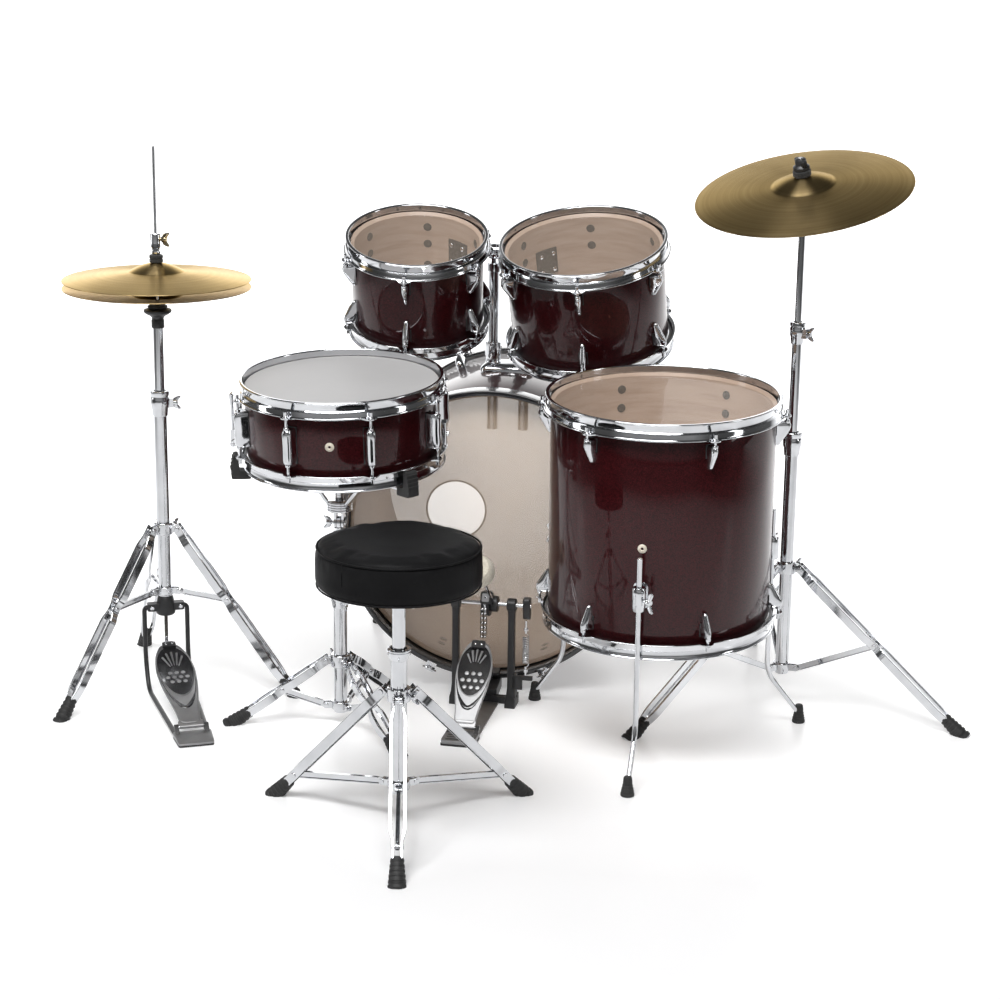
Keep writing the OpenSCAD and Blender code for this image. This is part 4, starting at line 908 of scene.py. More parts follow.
def make_tom_post(name, tilt_joint):
    hinge = joint_at(tilt_joint)
    piece = Piece(name + "_post_skin", under(hinge))
    top = hinge.z / MM
    piece.pipe(11.1, 9.1, 470, top - 24, "chrome", steps=40)
    piece.lathe([(10.5, top - 41), *arc(13.0, top - 39.4, 1.4, -90, 0, 4),
                 *arc(13.0, top - 24.4, 1.4, 0, 90, 4), (6, top - 22)], "chrome", steps=36)
    piece.prism(rect(-4.9, -10, 4.9, 10, 1.2, 3), top - 24, top - 4, "chrome")
    disc = shift(0, 0, top) @ turn("Y", 90)
    piece.drum(15.8, -4.9, 4.9, "chrome", disc, 1.0, 48)
    for z in (-4.7, 4.7):
        teeth(piece, disc, 24, 7.5, 10.5, 15.0, z, 0.7)
    piece.make(name + "_post", [name + "_post"], bevel=0.4)


# ---------------------------------------------------------------- bass drum

BASS_R = 279.4
BASS_LENGTH = 406.4
BASS_EDGE = 29.0
BASS_TOTAL = BASS_LENGTH + 2 * BASS_EDGE
BASS_HOOP_W = 38.0
BASS_HOOP_IN = BASS_R + 2.1
BASS_HOOP_OUT = BASS_HOOP_IN + 10
BASS_ROD_R = BASS_HOOP_OUT + 6.5
BASS_TURNS = [22.5 + 45 * k for k in range(8)]
PORT_AT = Vector((-128, 68))
PORT_R = 62.0


def bass_place():
    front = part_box("bass_hoops")[0][1]
    return shift(middle("bass_shell").x, front, middle("bass_hoops").z) @ turn("X", -90)


BASS_ENDS = both_ends(BASS_TOTAL)


def make_bass_shell():
    piece = Piece("bass_shell_skin", bass_place())
    shell_wall(piece, BASS_R, BASS_EDGE, BASS_EDGE + BASS_LENGTH, 192)
    for end in BASS_ENDS:
        for t in BASS_TURNS:
            for z in (84, 110):
                inner_screw(piece, BASS_R, z, end @ turn("Z", t))
    piece.make("kit", ["bass_shell"])


def make_bass_hoops():
    """Lacquered wood hoops with rounded edges."""
    a, b, w = BASS_HOOP_IN, BASS_HOOP_OUT, BASS_HOOP_W
    piece = Piece("bass_hoops_skin", bass_place())
    for end in BASS_ENDS:
        piece.lathe([*arc(a + 1.5, 1.5, 1.5, 180, 270, 4), *arc(b - 2.2, 2.2, 2.2, -90, 0, 5),
                     *arc(b - 2.2, w - 2.2, 2.2, 0, 90, 5), (a, w)], "black_lacquer", end, 192, closed=True)
    piece.make("kit", ["bass_hoops"])


def film_with_port(piece, z, at):
    """Flat film with a round port, as rings that grow from the port's edge to the rim."""
    steps, rows, thick = 160, 14, 0.4
    port = [PORT_AT + Vector(p) * PORT_R for p in circle(1, steps)]
    rim = [Vector(p) * (BASS_R - 2) for p in circle(1, steps)]
    spots = [near.lerp(far, k / rows) for k in range(rows + 1) for near, far in zip(port, rim)]
    verts = [(spot.x, spot.y, z + up) for up in (0, thick) for spot in spots]
    faces = []
    for i in range(steps):
        j = (i + 1) % steps
        # the film's two sides, then its inner and outer edges
        for low in [base + k * steps for base in (0, len(spots)) for k in range(rows)]:
            faces.append((low + i, low + j, low + steps + j, low + steps + i))
        for low in (0, rows * steps):
            faces.append((low + i, low + j, len(spots) + low + j, len(spots) + low + i))
    piece.add(verts, faces, "bass_film", at)


def make_bass_heads():
    r, e = BASS_R, BASS_EDGE
    piece = Piece("bass_heads_skin", bass_place())
    rim = [(r + 0.9, e + 2), (r + 1.1, e + 9), (r + 0.7, e + 9), (r + 0.5, e + 2.2), (r - 1.5, e + 0.2)]
    near, far = BASS_ENDS
    piece.lathe([(0, e - 0.4), (r - 4, e - 0.4), (r - 1, e), *rim, (0, e)], "bass_film", near, 192)
    piece.lathe([(r - 2, e - 0.4), (r - 1, e), *rim], "bass_film", far, 192, closed=True)
    film_with_port(piece, BASS_TOTAL - e, HERE)
    # white reinforcing ring round the port
    ring = [(0, -0.6), (3.4, -0.6), (4, 0.4), (3.4, 1.2), (0, 1.2)]
    piece.lathe([(PORT_R + out, z) for out, z in ring], "coated_film",
                shift(*PORT_AT, BASS_TOTAL - e + 0.4), 96, closed=True)
    for end in BASS_ENDS:
        piece.lathe([(r + 1.3, 38), (r + 7.4, 38), (r + 8, 38.8), (r + 8, 43.2), (r + 7.4, 44),
                     (r + 1.3, 44)],
                    "satin_plate", end, 192, closed=True)
    piece.make("kit", ["bass_heads"])


def claw_and_lug(piece, at):
    """Claw hook over the hoop, T-handled rod and the lug on the shell."""
    a, b, rod_r = BASS_HOOP_IN, BASS_HOOP_OUT, BASS_ROD_R
    strips = 6
    for k in range(strips):
        low = -10 + k * 20 / strips
        piece.block((a + 3, low, -2.6), (rod_r + 5 - 0.4 * abs(k - 2.5), low + 20 / strips, -0.4), "chrome",
                    at)
    outline = rounded([(b + 0.5, -2.6), (rod_r + 7, -2.6), (rod_r + 7, 9), (b + 3.6, 26), (b + 0.5, 26)], 2.4,
                      4)
    piece.prism(outline, -8.5, 8.5, "chrome", at @ turn("X", 90))
    spot = at @ shift(rod_r, 0, 0)
    piece.drum(5.6, -4.6, -2.4, "chrome", spot, 0.8, 24)
    piece.drum(3.8, -9.5, -4.4, "chrome", spot, 1, 20)
    piece.rod([(0, y, -7) for y in (-15, -13.5, -4, 4, 13.5, 15)], [1.4, 2.5, 2.1, 2.1, 2.5, 1.4], "chrome",
              spot, 14)
    piece.drum(2.9, -5, 76, "chrome", spot, 0.3, 16)
    rows = [(72.5, 20, 6.5), (73.5, 25, 9), (78, 28.5, 10.4), (88, 29, 10.8), (100, 27, 10.6), (110, 22, 9.6),
            (116, 16, 8), (119, 9, 5.5)]
    rows = [(down, out + 2, half) for down, out, half in rows]
    piece.loft(bulging(BASS_R - 2, rows, 16, 0.7), "chrome", at)


SPUR_TILT = 68          # the spur's hinge axis leans this far from upright


def make_bass_lugs():
    piece = Piece("bass_lugs_skin", bass_place())
    for end in BASS_ENDS:
        for t in BASS_TURNS:
            claw_and_lug(piece, end @ turn("Z", t))
    piece.make("kit", ["bass_lugs"], bevel=0.5)
    for side, name in ((-1, "left"), (1, "right")):
        pivot = joint_at(name + "_spur_fold")
        bracket = Piece(name + "_spur_bracket", shift(*pivot) @ turn("Y", side * SPUR_TILT))
        bracket.lathe([(5.2, -33), (15, -33), (16.8, -31), (17, -12), (15.6, -8.8), (5.2, -8.8)], "chrome",
                      steps=40, closed=True)
        bracket.make("kit")


def make_spur(side, name):
    pivot = joint_at(name + "_spur_fold")
    piece = Piece("bass_spur_" + name + "_skin", under(pivot))
    top = Vector((0, 0, pivot.z / MM))
    foot = top + Vector((side * 0.42, 0.46, -1)) * (top.z - 14)
    tilted = shift(*top) @ turn("Y", side * SPUR_TILT)
    piece.drum(12.8, -8, 8, "chrome", tilted, 2, 36)
    piece.drum(5, -33, -7, "chrome", tilted, 1, 20)
    wing_bolt(piece, tilted @ turn("Y", -90), 4, 14, 20)
    piece.rod([top, top.lerp(foot, 0.55), foot], 6.3, "chrome", sides=24)
    piece.rod([top.lerp(foot, 0.62), top.lerp(foot, 0.66)], 8, "chrome", sides=24)
    piece.lathe([(0, 0), (12, 0), (13, 1), (13, 5), (12.2, 6), (12.4, 11), (11.2, 12), (11.4, 17), (10.2, 18),
                 (10.2, 24), (8.6, 30), (0, 31)], "rubber", under(foot), 32)
    piece.make(name + "_spur", ["bass_spur_" + name], bevel=0.3)


def make_tom_mount():
    left, right = joint_at("small_tom_tilt"), joint_at("medium_tom_tilt")
    piece = Piece("tom_mount_skin", under((left + right) / 2))
    top = heights("tom_mount")[1]
    shell_top = heights("bass_shell")[1]
    half = (right.x - left.x) / 2 / MM
    base = rect(-55, -33, 55, 33, 16, 6)
    piece.loft([[(p.x * along, p.y * across, shell_top + up) for p in base]
                for up, along, across in ((-7, 1, 1), (4, 1, 1), (9, 0.95, 0.9), (15, 0.82, 0.7))], "chrome")
    for side in (-1, 1):
        at = shift(side * half, 0, 0)
        piece.lathe([(16.8, shell_top), (16.8, shell_top + 14), (15.4, shell_top + 18), (15.4, top - 30),
                     (17, top - 27), (17, top - 2), (15.6, top - 0.4), (11.3, top - 0.4), (11.3, shell_top)],
                    "chrome", at, 40, closed=True)
        eye = at @ turn("Z", -90) @ shift(0, 0, top - 16)
        for y in (-5.4, 1.2):
            piece.block((12, y, -10), (24, y + 4.2, 10), "chrome", eye)
        wing_bolt(piece, eye, 14, 17, 26)
    for x in (-44, 44):
        for y in (-22, 22):
            piece.drum(4.6, shell_top + 4, shell_top + 9, "chrome", shift(x, y, 0), 1.5, 20)
    piece.make("kit", ["tom_mount"], bevel=0.5)


# ---------------------------------------------------------------- floor tom

LEG_R = 4.75
LEG_OUT = 225.2
LEG_TURNS = (-95.4, 24.6, 146)
BRACKET_Z = -300
KINK_Z = 105
FOOT_R = 296


def make_floor_tom_lugs():
    r = FLOOR.r
    piece = Piece("floor_tom_lugs_skin", FLOOR.place)
    tom_lugs(piece, FLOOR)
    for t in LEG_TURNS:
        at = turn("Z", t) @ shift(0, 0, BRACKET_Z)
        piece.prism(rect(-13, -24, 13, 24, 9, 5), 0, 3.4, "chrome",
                    at @ shift(r + 0.4, 0, 0) @ turn("Y", 90) @ turn("Z", 90))
        for z in (-17, 17):
            piece.drum(3.4, 2, 5.2, "chrome", at @ shift(r, 0, z) @ turn("Y", 90), 1, 16)
        piece.block((r + 2, -8.5, -11), (LEG_OUT - 6, 8.5, 11), "chrome", at)
        sleeve_at = at @ shift(LEG_OUT, 0, 0)
        piece.lathe([(LEG_R + 0.1, -22), (10.4, -22), (11.8, -20), (12, -8), (12, 8), (11.8, 20), (10.4, 22),
                     (LEG_R + 0.1, 22)], "chrome", sleeve_at, 36, closed=True)
        wing_bolt(piece, sleeve_at @ turn("Z", 52), 9, 20, 36)
    piece.make("kit", ["floor_tom_lugs"], bevel=0.4)


def make_floor_tom_leg(i):
    """Bent leg with a rubber foot."""
    t = LEG_TURNS[i]
    rim = FLOOR.place @ shift(0, 0, RIM_Z * MM)
    top = FLOOR.place @ (polar(LEG_OUT, t, BRACKET_Z + 75) * MM) / MM
    kink = FLOOR.place @ (polar(LEG_OUT, t, KINK_Z - rim.translation.z / MM + RIM_Z) * MM) / MM
    axis = FLOOR.place.to_3x3() @ Vector((0, 0, 1))
    on_floor = rim.translation / MM - axis * (rim.translation.z / MM / axis.z)
    foot = on_floor + polar(FOOT_R, t, 0)
    foot.z = 18
    piece = Piece("floor_tom_leg_%d_skin" % (i + 1))
    path = smooth_path([top, kink, foot], 26, 10)
    piece.rod([top + axis * -1.0, *path[1:]], LEG_R, "chrome", sides=24)
    piece.rod([top - axis * 3, top], [LEG_R, LEG_R * 0.7], "chrome", sides=24)
    piece.lathe([(0, 0), (11.4, 0), (12.4, 1), (12.4, 5), (11.4, 6), (11.6, 10), (10.4, 11), (10.6, 15),
                 (9.4, 16), (9.6, 20), (8.4, 21), (8.5, 26), (7.4, 34), (6, 36), (0, 36)], "rubber",
                shift(foot.x, foot.y, 0), 32)
    piece.make("floor_leg_%d" % (i + 1), ["floor_tom_leg_%d" % (i + 1)], bevel=0.3)


# ---------------------------------------------------------------- snare and its stand

THROWOFF = -176.5
LEVER_OUT = 27          # from the shell to the lever's pin
LEVER_Z = -118
BASKET_TURNS = (-163, -43, 77)


def snare_lug(piece, r, mid, at):
    """Double-ended lug, a rod from either hoop, and a gasket on the shell."""
    half_rows = [(-33, 17, 5.8), (-32.4, 21.5, 7.8), (-30, 24.4, 8.7), (-24, 26, 9.1), (-10, 25.4, 8.9)]
    rows = half_rows + [(0, 25, 8.8)] + [(-z, out, half) for z, out, half in reversed(half_rows)]
    rows = [(mid + z, out + 1, half) for z, out, half in rows]
    piece.loft(bulging(r - 1, rows, 20, 0.42, 0.7), "chrome", at)
    piece.prism(rect(r - 1, -9.8, r + 1, 9.8, 0.5, 2), mid - 34, mid + 34, "rubber", at)
    for end in SNARE.ends:
        tension_rod(piece, r, mid + 33, end @ at)
        piece.drum(5, mid + 31, mid + 37, "chrome", end @ at @ shift(r + ROD_OUT, 0, 0), 1.4, 24)


def strainer(piece, r, at):
    """Body with the lever's ears, and the tension knob on top of it."""
    piece.prism(rect(r + 0.2, -12.6, r + 19.2, 12.6, 3, 4), -117, -54, "chrome", at)
    piece.block((r + 2, -9, -54), (r + 15, 9, -50.5), "chrome", at)
    piece.drum(3, -51, -36, "chrome", at @ shift(r + 12, 0, 0), 0.4, 16)
    knob = at @ shift(r + 11, 0, 0)
    piece.lathe([(0, -40), (8, -39.6), (8.4, -38.6), (8.4, -33), (8, -31.6), (6, -31), (0, -31)], "chrome",
                knob, 36)
    for k in range(18):
        piece.rod([(8.3, 0, -38.4), (8.3, 0, -32.6)], 0.5, "chrome", knob @ turn("Z", 20 * k), 6)
    for lo, hi in both_sides(8.2, 12):
        piece.bar((r + 15, -111), (r + LEVER_OUT, LEVER_Z), 12, lo, hi, "chrome", at)
    for z in (-108, -64):
        piece.drum(3.2, 17, 21.4, "chrome", at @ shift(r, 8.0, z) @ turn("Y", 90), 1, 16)


def make_snare_lugs():
    """Eight lugs, the strainer, the butt plate opposite it and the tapes that hold the wires."""
    r = SNARE.r
    piece = Piece("snare_lugs_skin", SNARE.place)
    for t in SNARE.turns:
        snare_lug(piece, r, -SNARE.depth / 2, turn("Z", t))
    at = turn("Z", THROWOFF)
    strainer(piece, r, at)
    butt = at @ turn("Z", 180)
    piece.prism(rect(r + 0.2, -12.4, r + 13.8, 12.4, 3, 4), -117, -75, "chrome", butt)
    for y in (-6, 6):
        piece.drum(3.4, 12, 17.6, "chrome", butt @ shift(r, y, -98) @ turn("Y", 90), 1, 16)
    for place in (at, butt):
        piece.block((r + 3, -9, -SNARE.depth + 1), (r + 5, 9, -112), "coated_film", place)
    piece.make("snare", ["snare_lugs"], bevel=0.5)


def make_throwoff():
    """The strainer's lever on its pin, widening to a grip."""
    r = SNARE.r
    piece = Piece("snare_throwoff_skin", SNARE.place)
    at = turn("Z", THROWOFF)
    piece.pin(r + LEVER_OUT, LEVER_Z, 3, -14, 14, "chrome", at, 0.8)
    piece.bar((r + LEVER_OUT, LEVER_Z), (r + LEVER_OUT, -96), 10, -6.8, 6.8, "chrome", at)
    # height, half width, and reach from the shell on the inside and the outside
    grip = [(-110, 6.4, 23.6, 30.4), (-96, 6.2, 24, 30), (-70, 5.4, 24.6, 29.6), (-46, 6.4, 24.4, 29.8),
            (-38, 9, 24, 30.2), (-30, 10.4, 23.8, 30.6), (-24, 10, 24, 30.4), (-22.3, 8, 25, 29)]
    piece.loft([ring_at(rect(r + x0, -half, r + x1, half, 2, 3), z) for z, half, x0, x1 in grip], "chrome",
               at)
    piece.make("snare_lever", ["snare_throwoff"], bevel=0.4)


def make_snare_wires():
    """Twenty coiled wires between end plates, drawn tight under the lower head."""
    z = -SNARE.depth - 2.2
    wires, coils, coil_r, span = 20, 60, 0.75, 284
    piece = Piece("snare_wires_skin", SNARE.place)
    at = turn("Z", THROWOFF)
    for side in (-1, 1):
        tape = rounded([(side * 141, -28), (side * 159, -26), (side * 159, 26), (side * 141, 28)], 3, 3)
        piece.prism(tape, z - 1, z + 0.5, "satin_plate", at)
    for i in range(wires):
        y = (i - (wires - 1) / 2) * 2.6
        path = [(span * (k / (coils * 4) - 0.5), y + coil_r * math.cos(math.pi / 2 * k),
                 z - 0.2 + coil_r * math.sin(math.pi / 2 * k)) for k in range(coils * 4 + 1)]
        piece.rod(path, 0.28, "satin_plate", at, 4)
    piece.make("snare", ["snare_wires"])


def make_stand_base(name, centre, tube_r, bottom, top, clamp_h, bolt_turn, collar_z, hub_z, hinge_r, foot_r,
                    share, first):
    """Base tube with its clamp, sliding collar, hub, legs and struts, all standing still."""
    place = under(centre)
    tube = Piece(name + "_skin", place)
    tube.pipe(tube_r, tube_r - 2, bottom, top - clamp_h + 2, "chrome", steps=48)
    height_clamp(tube, tube_r, top, clamp_h, bolt_turn)
    collar(tube, tube_r, collar_z, hinge_r, first)
    hub(tube, tube_r, hub_z, hinge_r, first)
    for i in range(3):
        at = turn("Z", first + 120 * i)
        tripod_leg(tube, (hinge_r, collar_z), foot_r, share, at)
        tripod_strut(tube, (hinge_r, hub_z), leg_point((hinge_r, collar_z), foot_r, share), at)
    tube.rests_on_floor()
    tube.make("kit", [name], bevel=0.35)


SNARE_HINGE = joint_at("snare_tilt")
BASKET_HUB_Z = 432


def make_snare_post():
    z = SNARE_HINGE.z / MM
    piece = Piece("snare_stand_post_skin", under(SNARE_HINGE))
    piece.pipe(9.5, 7.9, 110, z - 16, "chrome", steps=40)
    piece.lathe([(9.4, z - 31), (12, z - 31), (13, z - 29), (13, z - 17), (11, z - 15), (4, z - 14)],
                "chrome", steps=36)
    piece.prism(rect(-3.9, -9, 3.9, 9, 1, 2), z - 16, z - 4, "chrome")
    piece.drum(12.8, -3.9, 3.9, "chrome", shift(0, 0, z) @ turn("Y", 90), 0.8, 40)
    piece.make("snare_post", ["snare_stand_post"], bevel=0.4)


def make_basket():
    """Tilter ears, ribbed hub and three flat hinged arms with wedge-shaped rubber tips."""
    piece = Piece("snare_basket_skin", under(SNARE_HINGE))
    z = SNARE_HINGE.z / MM
    for side in (-1, 1):
        lo, hi = sorted((side * 4.6, side * 9.4))
        piece.drum(12, lo, hi, "chrome", shift(0, 0, z) @ turn("Y", 90), 0.9, 40)
        piece.block((lo, -8.6, z), (hi, 8.6, BASKET_HUB_Z - 12), "chrome")
    piece.drum(5, 9, 12, "chrome", shift(0, 0, z) @ turn("Y", 90), 1, 24)
    wing_bolt(piece, shift(0, 0, z) @ turn("Z", 180), 9, 15, 24)
    ribs = [(0, BASKET_HUB_Z - 14), (22, BASKET_HUB_Z - 14)]
    for k in range(4):
        low = BASKET_HUB_Z - 13 + 4.6 * k
        ribs += [(24, low + 0.6), (24, low + 3.0), (22.2, low + 3.4), (22.2, low + 4.4)]
    ribs += [(21, BASKET_HUB_Z + 6), (0, BASKET_HUB_Z + 6)]
    piece.lathe(ribs, "chrome", steps=48)
    piece.drum(8, BASKET_HUB_Z, BASKET_HUB_Z + 59, "chrome", edge=1.5)
    for k in range(10):
        piece.pipe(8.5, 7.5, BASKET_HUB_Z + 12 + 4 * k, BASKET_HUB_Z + 14 + 4 * k, "chrome", steps=32)
    tip_z = -SNARE.depth - 2
    r = SNARE.r
    to_stand = piece.place.inverted() @ SNARE.place

    def at_drum(p):
        return (to_stand @ (Vector(p) * MM)) / MM

    for t in BASKET_TURNS:
        hub_end = Vector(polar(18, t, BASKET_HUB_Z - 3))
        elbow = at_drum(polar(76, t, tip_z - 25))
        tip = at_drum(polar(r + 22, t, tip_z - 22))
        for a, b, width, thick in ((hub_end, elbow, 13, 6.4), (elbow, tip, 12, 5.6)):
            aim = (b - a).normalized()
            level = Vector((0, 0, 1)).cross(aim).normalized()
            up = aim.cross(level)
            rings = []
            for s in (-3, 0, (b - a).length, (b - a).length + 3):
                c = a + aim * s
                trim = 0.6 if s in (-3, (b - a).length + 3) else 1.0
                rings.append([c + level * (width / 2 * trim * y) + up * (thick / 2 * z)
                              for y, z in ((-1, -0.6), (-0.8, -1), (0.8, -1), (1, -0.6), (1, 0.6), (0.8, 1),
                                           (-0.8, 1), (-1, 0.6))])
            piece.loft(rings, "chrome")
        spin = turn("Z", t)
        outer = rounded([(r - 4, tip_z - 31), (r + 32, tip_z - 29), (r + 31, tip_z - 6),
                         (r + 26, tip_z + 17.4), (r + 17, tip_z + 17.4), (r + 16.6, tip_z - 14.2),
                         (r - 3, tip_z - 14.2)], 3.5, 4)
        piece.prism(outer, -11.6, 11.6, "rubber", in_millimetres(to_stand) @ spin @ turn("X", 90))
        for k in range(4):
            rib = in_millimetres(to_stand) @ spin @ shift(r + 26.6 + 1.3 * k, 0, tip_z + 11 - 7 * k)
            piece.block((-1, -11.9, -1.2), (2.6, 11.9, 1.2), "rubber", rib)
    piece.make("snare", ["snare_basket"], bevel=0.5)


# ---------------------------------------------------------------- cymbals

BOW_H = 17.0
BELL_H = 15.0
CYMBAL_T = 1.3


def cymbal_z(r, edge_r, bell_r):
    z = BOW_H * (1 - (r / edge_r) ** 2)
    if r < bell_r:
        z += BELL_H * (1 - (r / bell_r) ** 2)
    return z


def add_cymbal(piece, metal, edge_r, bell_r, hole_r, at=HERE):
    steps = 90
    radii = [hole_r + (edge_r - hole_r) * i / steps for i in range(steps + 1)]
    top = [(r, cymbal_z(r, edge_r, bell_r)) for r in radii]
    bottom = [(r, z - CYMBAL_T) for r, z in reversed(top)]
    lip = [(edge_r + 0.35, cymbal_z(edge_r, edge_r, bell_r) - CYMBAL_T / 2)]
    piece.lathe(top + lip + bottom, metal, at, 200, closed=True)


# ---------------------------------------------------------------- hi-hat

HAT_CENTRE = middle("hihat_bottom_cymbal")
HAT_AXIS = Vector(joints["hihat_press"]["axis"])
HAT_PLACE = under(HAT_CENTRE) @ turn("Z", math.degrees(math.atan2(HAT_AXIS.x, -HAT_AXIS.y)))
HAT_R = 178.0
HAT_BELL = 52.0
HAT_HEEL = 285.0
HAT_HEEL_Z = 18.0
HAT_TOE_X = 18.0
HAT_TOE_Z = 88.0


def make_hihat_cymbals():
    lower_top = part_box("hihat_bottom_cymbal")[1][2]
    lower = Piece("hihat_bottom_cymbal_skin", under(HAT_CENTRE) @ shift(0, 0, lower_top) @ turn("X", 180))
    add_cymbal(lower, "hat_bronze", HAT_R, HAT_BELL, 6, shift(0, 0, CYMBAL_T))
    lower.make("hihat_tube", ["hihat_bottom_cymbal"])
    edge_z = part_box("hihat_top_cymbal")[0][2] + CYMBAL_T * MM
    upper = Piece("hihat_top_cymbal_skin", under(HAT_CENTRE) @ shift(0, 0, edge_z))
    add_cymbal(upper, "hat_bronze", HAT_R, HAT_BELL, 6)
    # the clutch, from the bell's top: felts over and under the cymbal, lower nut, body and its two screws
    bell = shift(0, 0, BOW_H + BELL_H)
    felt = [(5.3, 0), (11.8, 0), (13, 1.2), (13, 5.8), (11.8, 7), (5.3, 7)]
    for low, squeeze in ((0.4, 1), (7.9, 1), (-CYMBAL_T - 7.4, 0.85)):
        upper.lathe([(r, z * squeeze + low) for r, z in felt], "black_felt", bell, 36, closed=True)
    upper.lathe([(3.1, -14), (8.2, -14), (9, -13), (9, -10), (8.2, -9), (3.1, -9)], "chrome", bell, 36,
                closed=True)
    upper.lathe([(3.1, -10), (5, -10), (5, 16), (7.4, 16), (8, 17), (8, 22), (7, 23), (7, 24), (8, 25),
                 (8, 28), (10, 30), (10, 54), (8.8, 55.6), (3.1, 55.6)], "chrome", bell, 40, closed=True)
    wing_bolt(upper, bell @ turn("Z", -12) @ shift(0, 0, 45), 7, 15, 26, "brass_tint")
    upper.drum(2.6, 6, 11, "chrome", bell @ turn("Z", -37) @ shift(0, 0, 20) @ turn("Y", 90), 0.6, 16)
    upper.make("hihat_top", ["hihat_top_cymbal"])


def make_hihat_tube():
    piece = Piece("hihat_tube_skin", under(HAT_CENTRE))
    piece.pipe(10, 8.2, 420, 732, "chrome", steps=48)
    # cup and felt under the lower cymbal, from the tube's top
    top = shift(0, 0, heights("hihat_tube")[1])
    piece.lathe([(8, -52), (11.6, -52), (12.4, -50.6), (12.4, -37), (11.4, -35.5), (11.4, -33), (13.4, -30),
                 (16, -28), (20, -26), (25.4, -22.4), (26.6, -20.8), (26.6, -17.6), (25.6, -16.4),
                 (21, -15.8), (19, -14), (9, -13), (5, -12), (5, -1), (3.6, -0.4), (3.4, -18), (3.4, -52)],
                "black_casting", top, 56, closed=True)
    piece.lathe([(5.2, -12.8), (18, -12.8), (19, -12), (19, -10), (17, -8.8), (5.2, -8.8)], "black_felt", top,
                40, closed=True)
    piece.make("hihat_tube", ["hihat_tube"])


def chain(piece, x, y0, z0, z1, at, columns=(0,)):
    """Roller chain hanging along Z: pairs of figure-eight plates and round rollers."""
    pitch = 8.0
    count = max(int((z1 - z0) / pitch), 1)
    pitch = (z1 - z0) / count
    for column in columns:
        for k in range(count + 1):
            spot = at @ shift(x + column, y0, z0 + k * pitch) @ turn("Y", 90)
            piece.drum(2.5, -2.6, 2.6, "chrome", spot, 0.4, 12)
        for k in range(count):
            wide = 2.8 if k % 2 else 2.0
            for side in (-1, 1):
                link = at @ shift(x + column + side * wide, y0, z0 + k * pitch) @ turn("Z", 90)
                piece.bar((0, 0), (0, pitch), 5.4, -0.4, 0.4, "dark_screw", link)


def make_hihat_rod():
    top = heights("hihat_rod")[1]
    piece = Piece("hihat_rod_skin", HAT_PLACE)
    piece.lathe([(0, 160), (3, 160), (3, top - 1.2), (2.2, top), (0, top)], "chrome", steps=20)
    piece.drum(5, 156, 170, "chrome", edge=1, steps=24)
    chain(piece, 0, 0, HAT_TOE_Z + 14, 158, HERE, (-2.6, 2.6))
    piece.prism(rect(-4, -9, 23, 9, 3, 3), HAT_TOE_Z + 9, HAT_TOE_Z + 12, "chrome")
    piece.make("hihat_rod", ["hihat_rod"], bevel=0.2)


def make_hihat_pedal_frame():
    """Head casting under the tube, two bent radius rods, and the heel plate on its rubber."""
    piece = Piece("hihat_pedal_frame_skin", HAT_PLACE)
    rod_y = 42
    piece.lathe([(8.2, 150), (16, 150), (18.6, 153), (19, 158), (17.4, 174), (15, 186), (13.2, 188),
                 (8.2, 188)],
                "black_casting", steps=40, closed=True)
    piece.prism(rect(-9.5, -36, 9.5, 36, 6, 5), 158.5, 173.5, "black_casting")
    for y in (-28, 28):
        piece.drum(4.2, 9, 12, "chrome", shift(0, y, 166) @ turn("Y", 90), 1, 20)
    for side in (-1, 1):
        spots = [(0, 24, 166), (0, rod_y, 166), (0, rod_y, 60), (34, rod_y, 6), (HAT_HEEL + 10, 30, 6)]
        piece.rod(smooth_path([(x, side * y, z) for x, y, z in spots], 26, 8), 4.5, "black_casting", sides=18)
    heel = rounded([(4, -36), (60, -33), (60, 33), (4, 36)], 6, 4)
    heel_at = shift(HAT_HEEL, 0, 0)
    piece.prism(heel, 0, 3.4, "rubber", heel_at)
    # the plate's back edge slopes down, and its top is a little smaller all round
    slope = [max(p.x - 40, 0) * 0.25 for p in heel]
    piece.loft([ring_at(heel, 3.4), [(p.x, p.y, 11.6 - down) for p, down in zip(heel, slope)],
                [(32 + (p.x - 32) * 0.94, p.y * 0.94, 12.2 - down) for p, down in zip(heel, slope)]],
               "satin_plate", heel_at)
    for lo, hi in both_sides(24, 32):
        piece.bar((HAT_HEEL, HAT_HEEL_Z), (HAT_HEEL + 12, 8), 12, lo, hi, "black_casting")
    piece.make("kit", ["hihat_pedal_frame"], bevel=0.6)


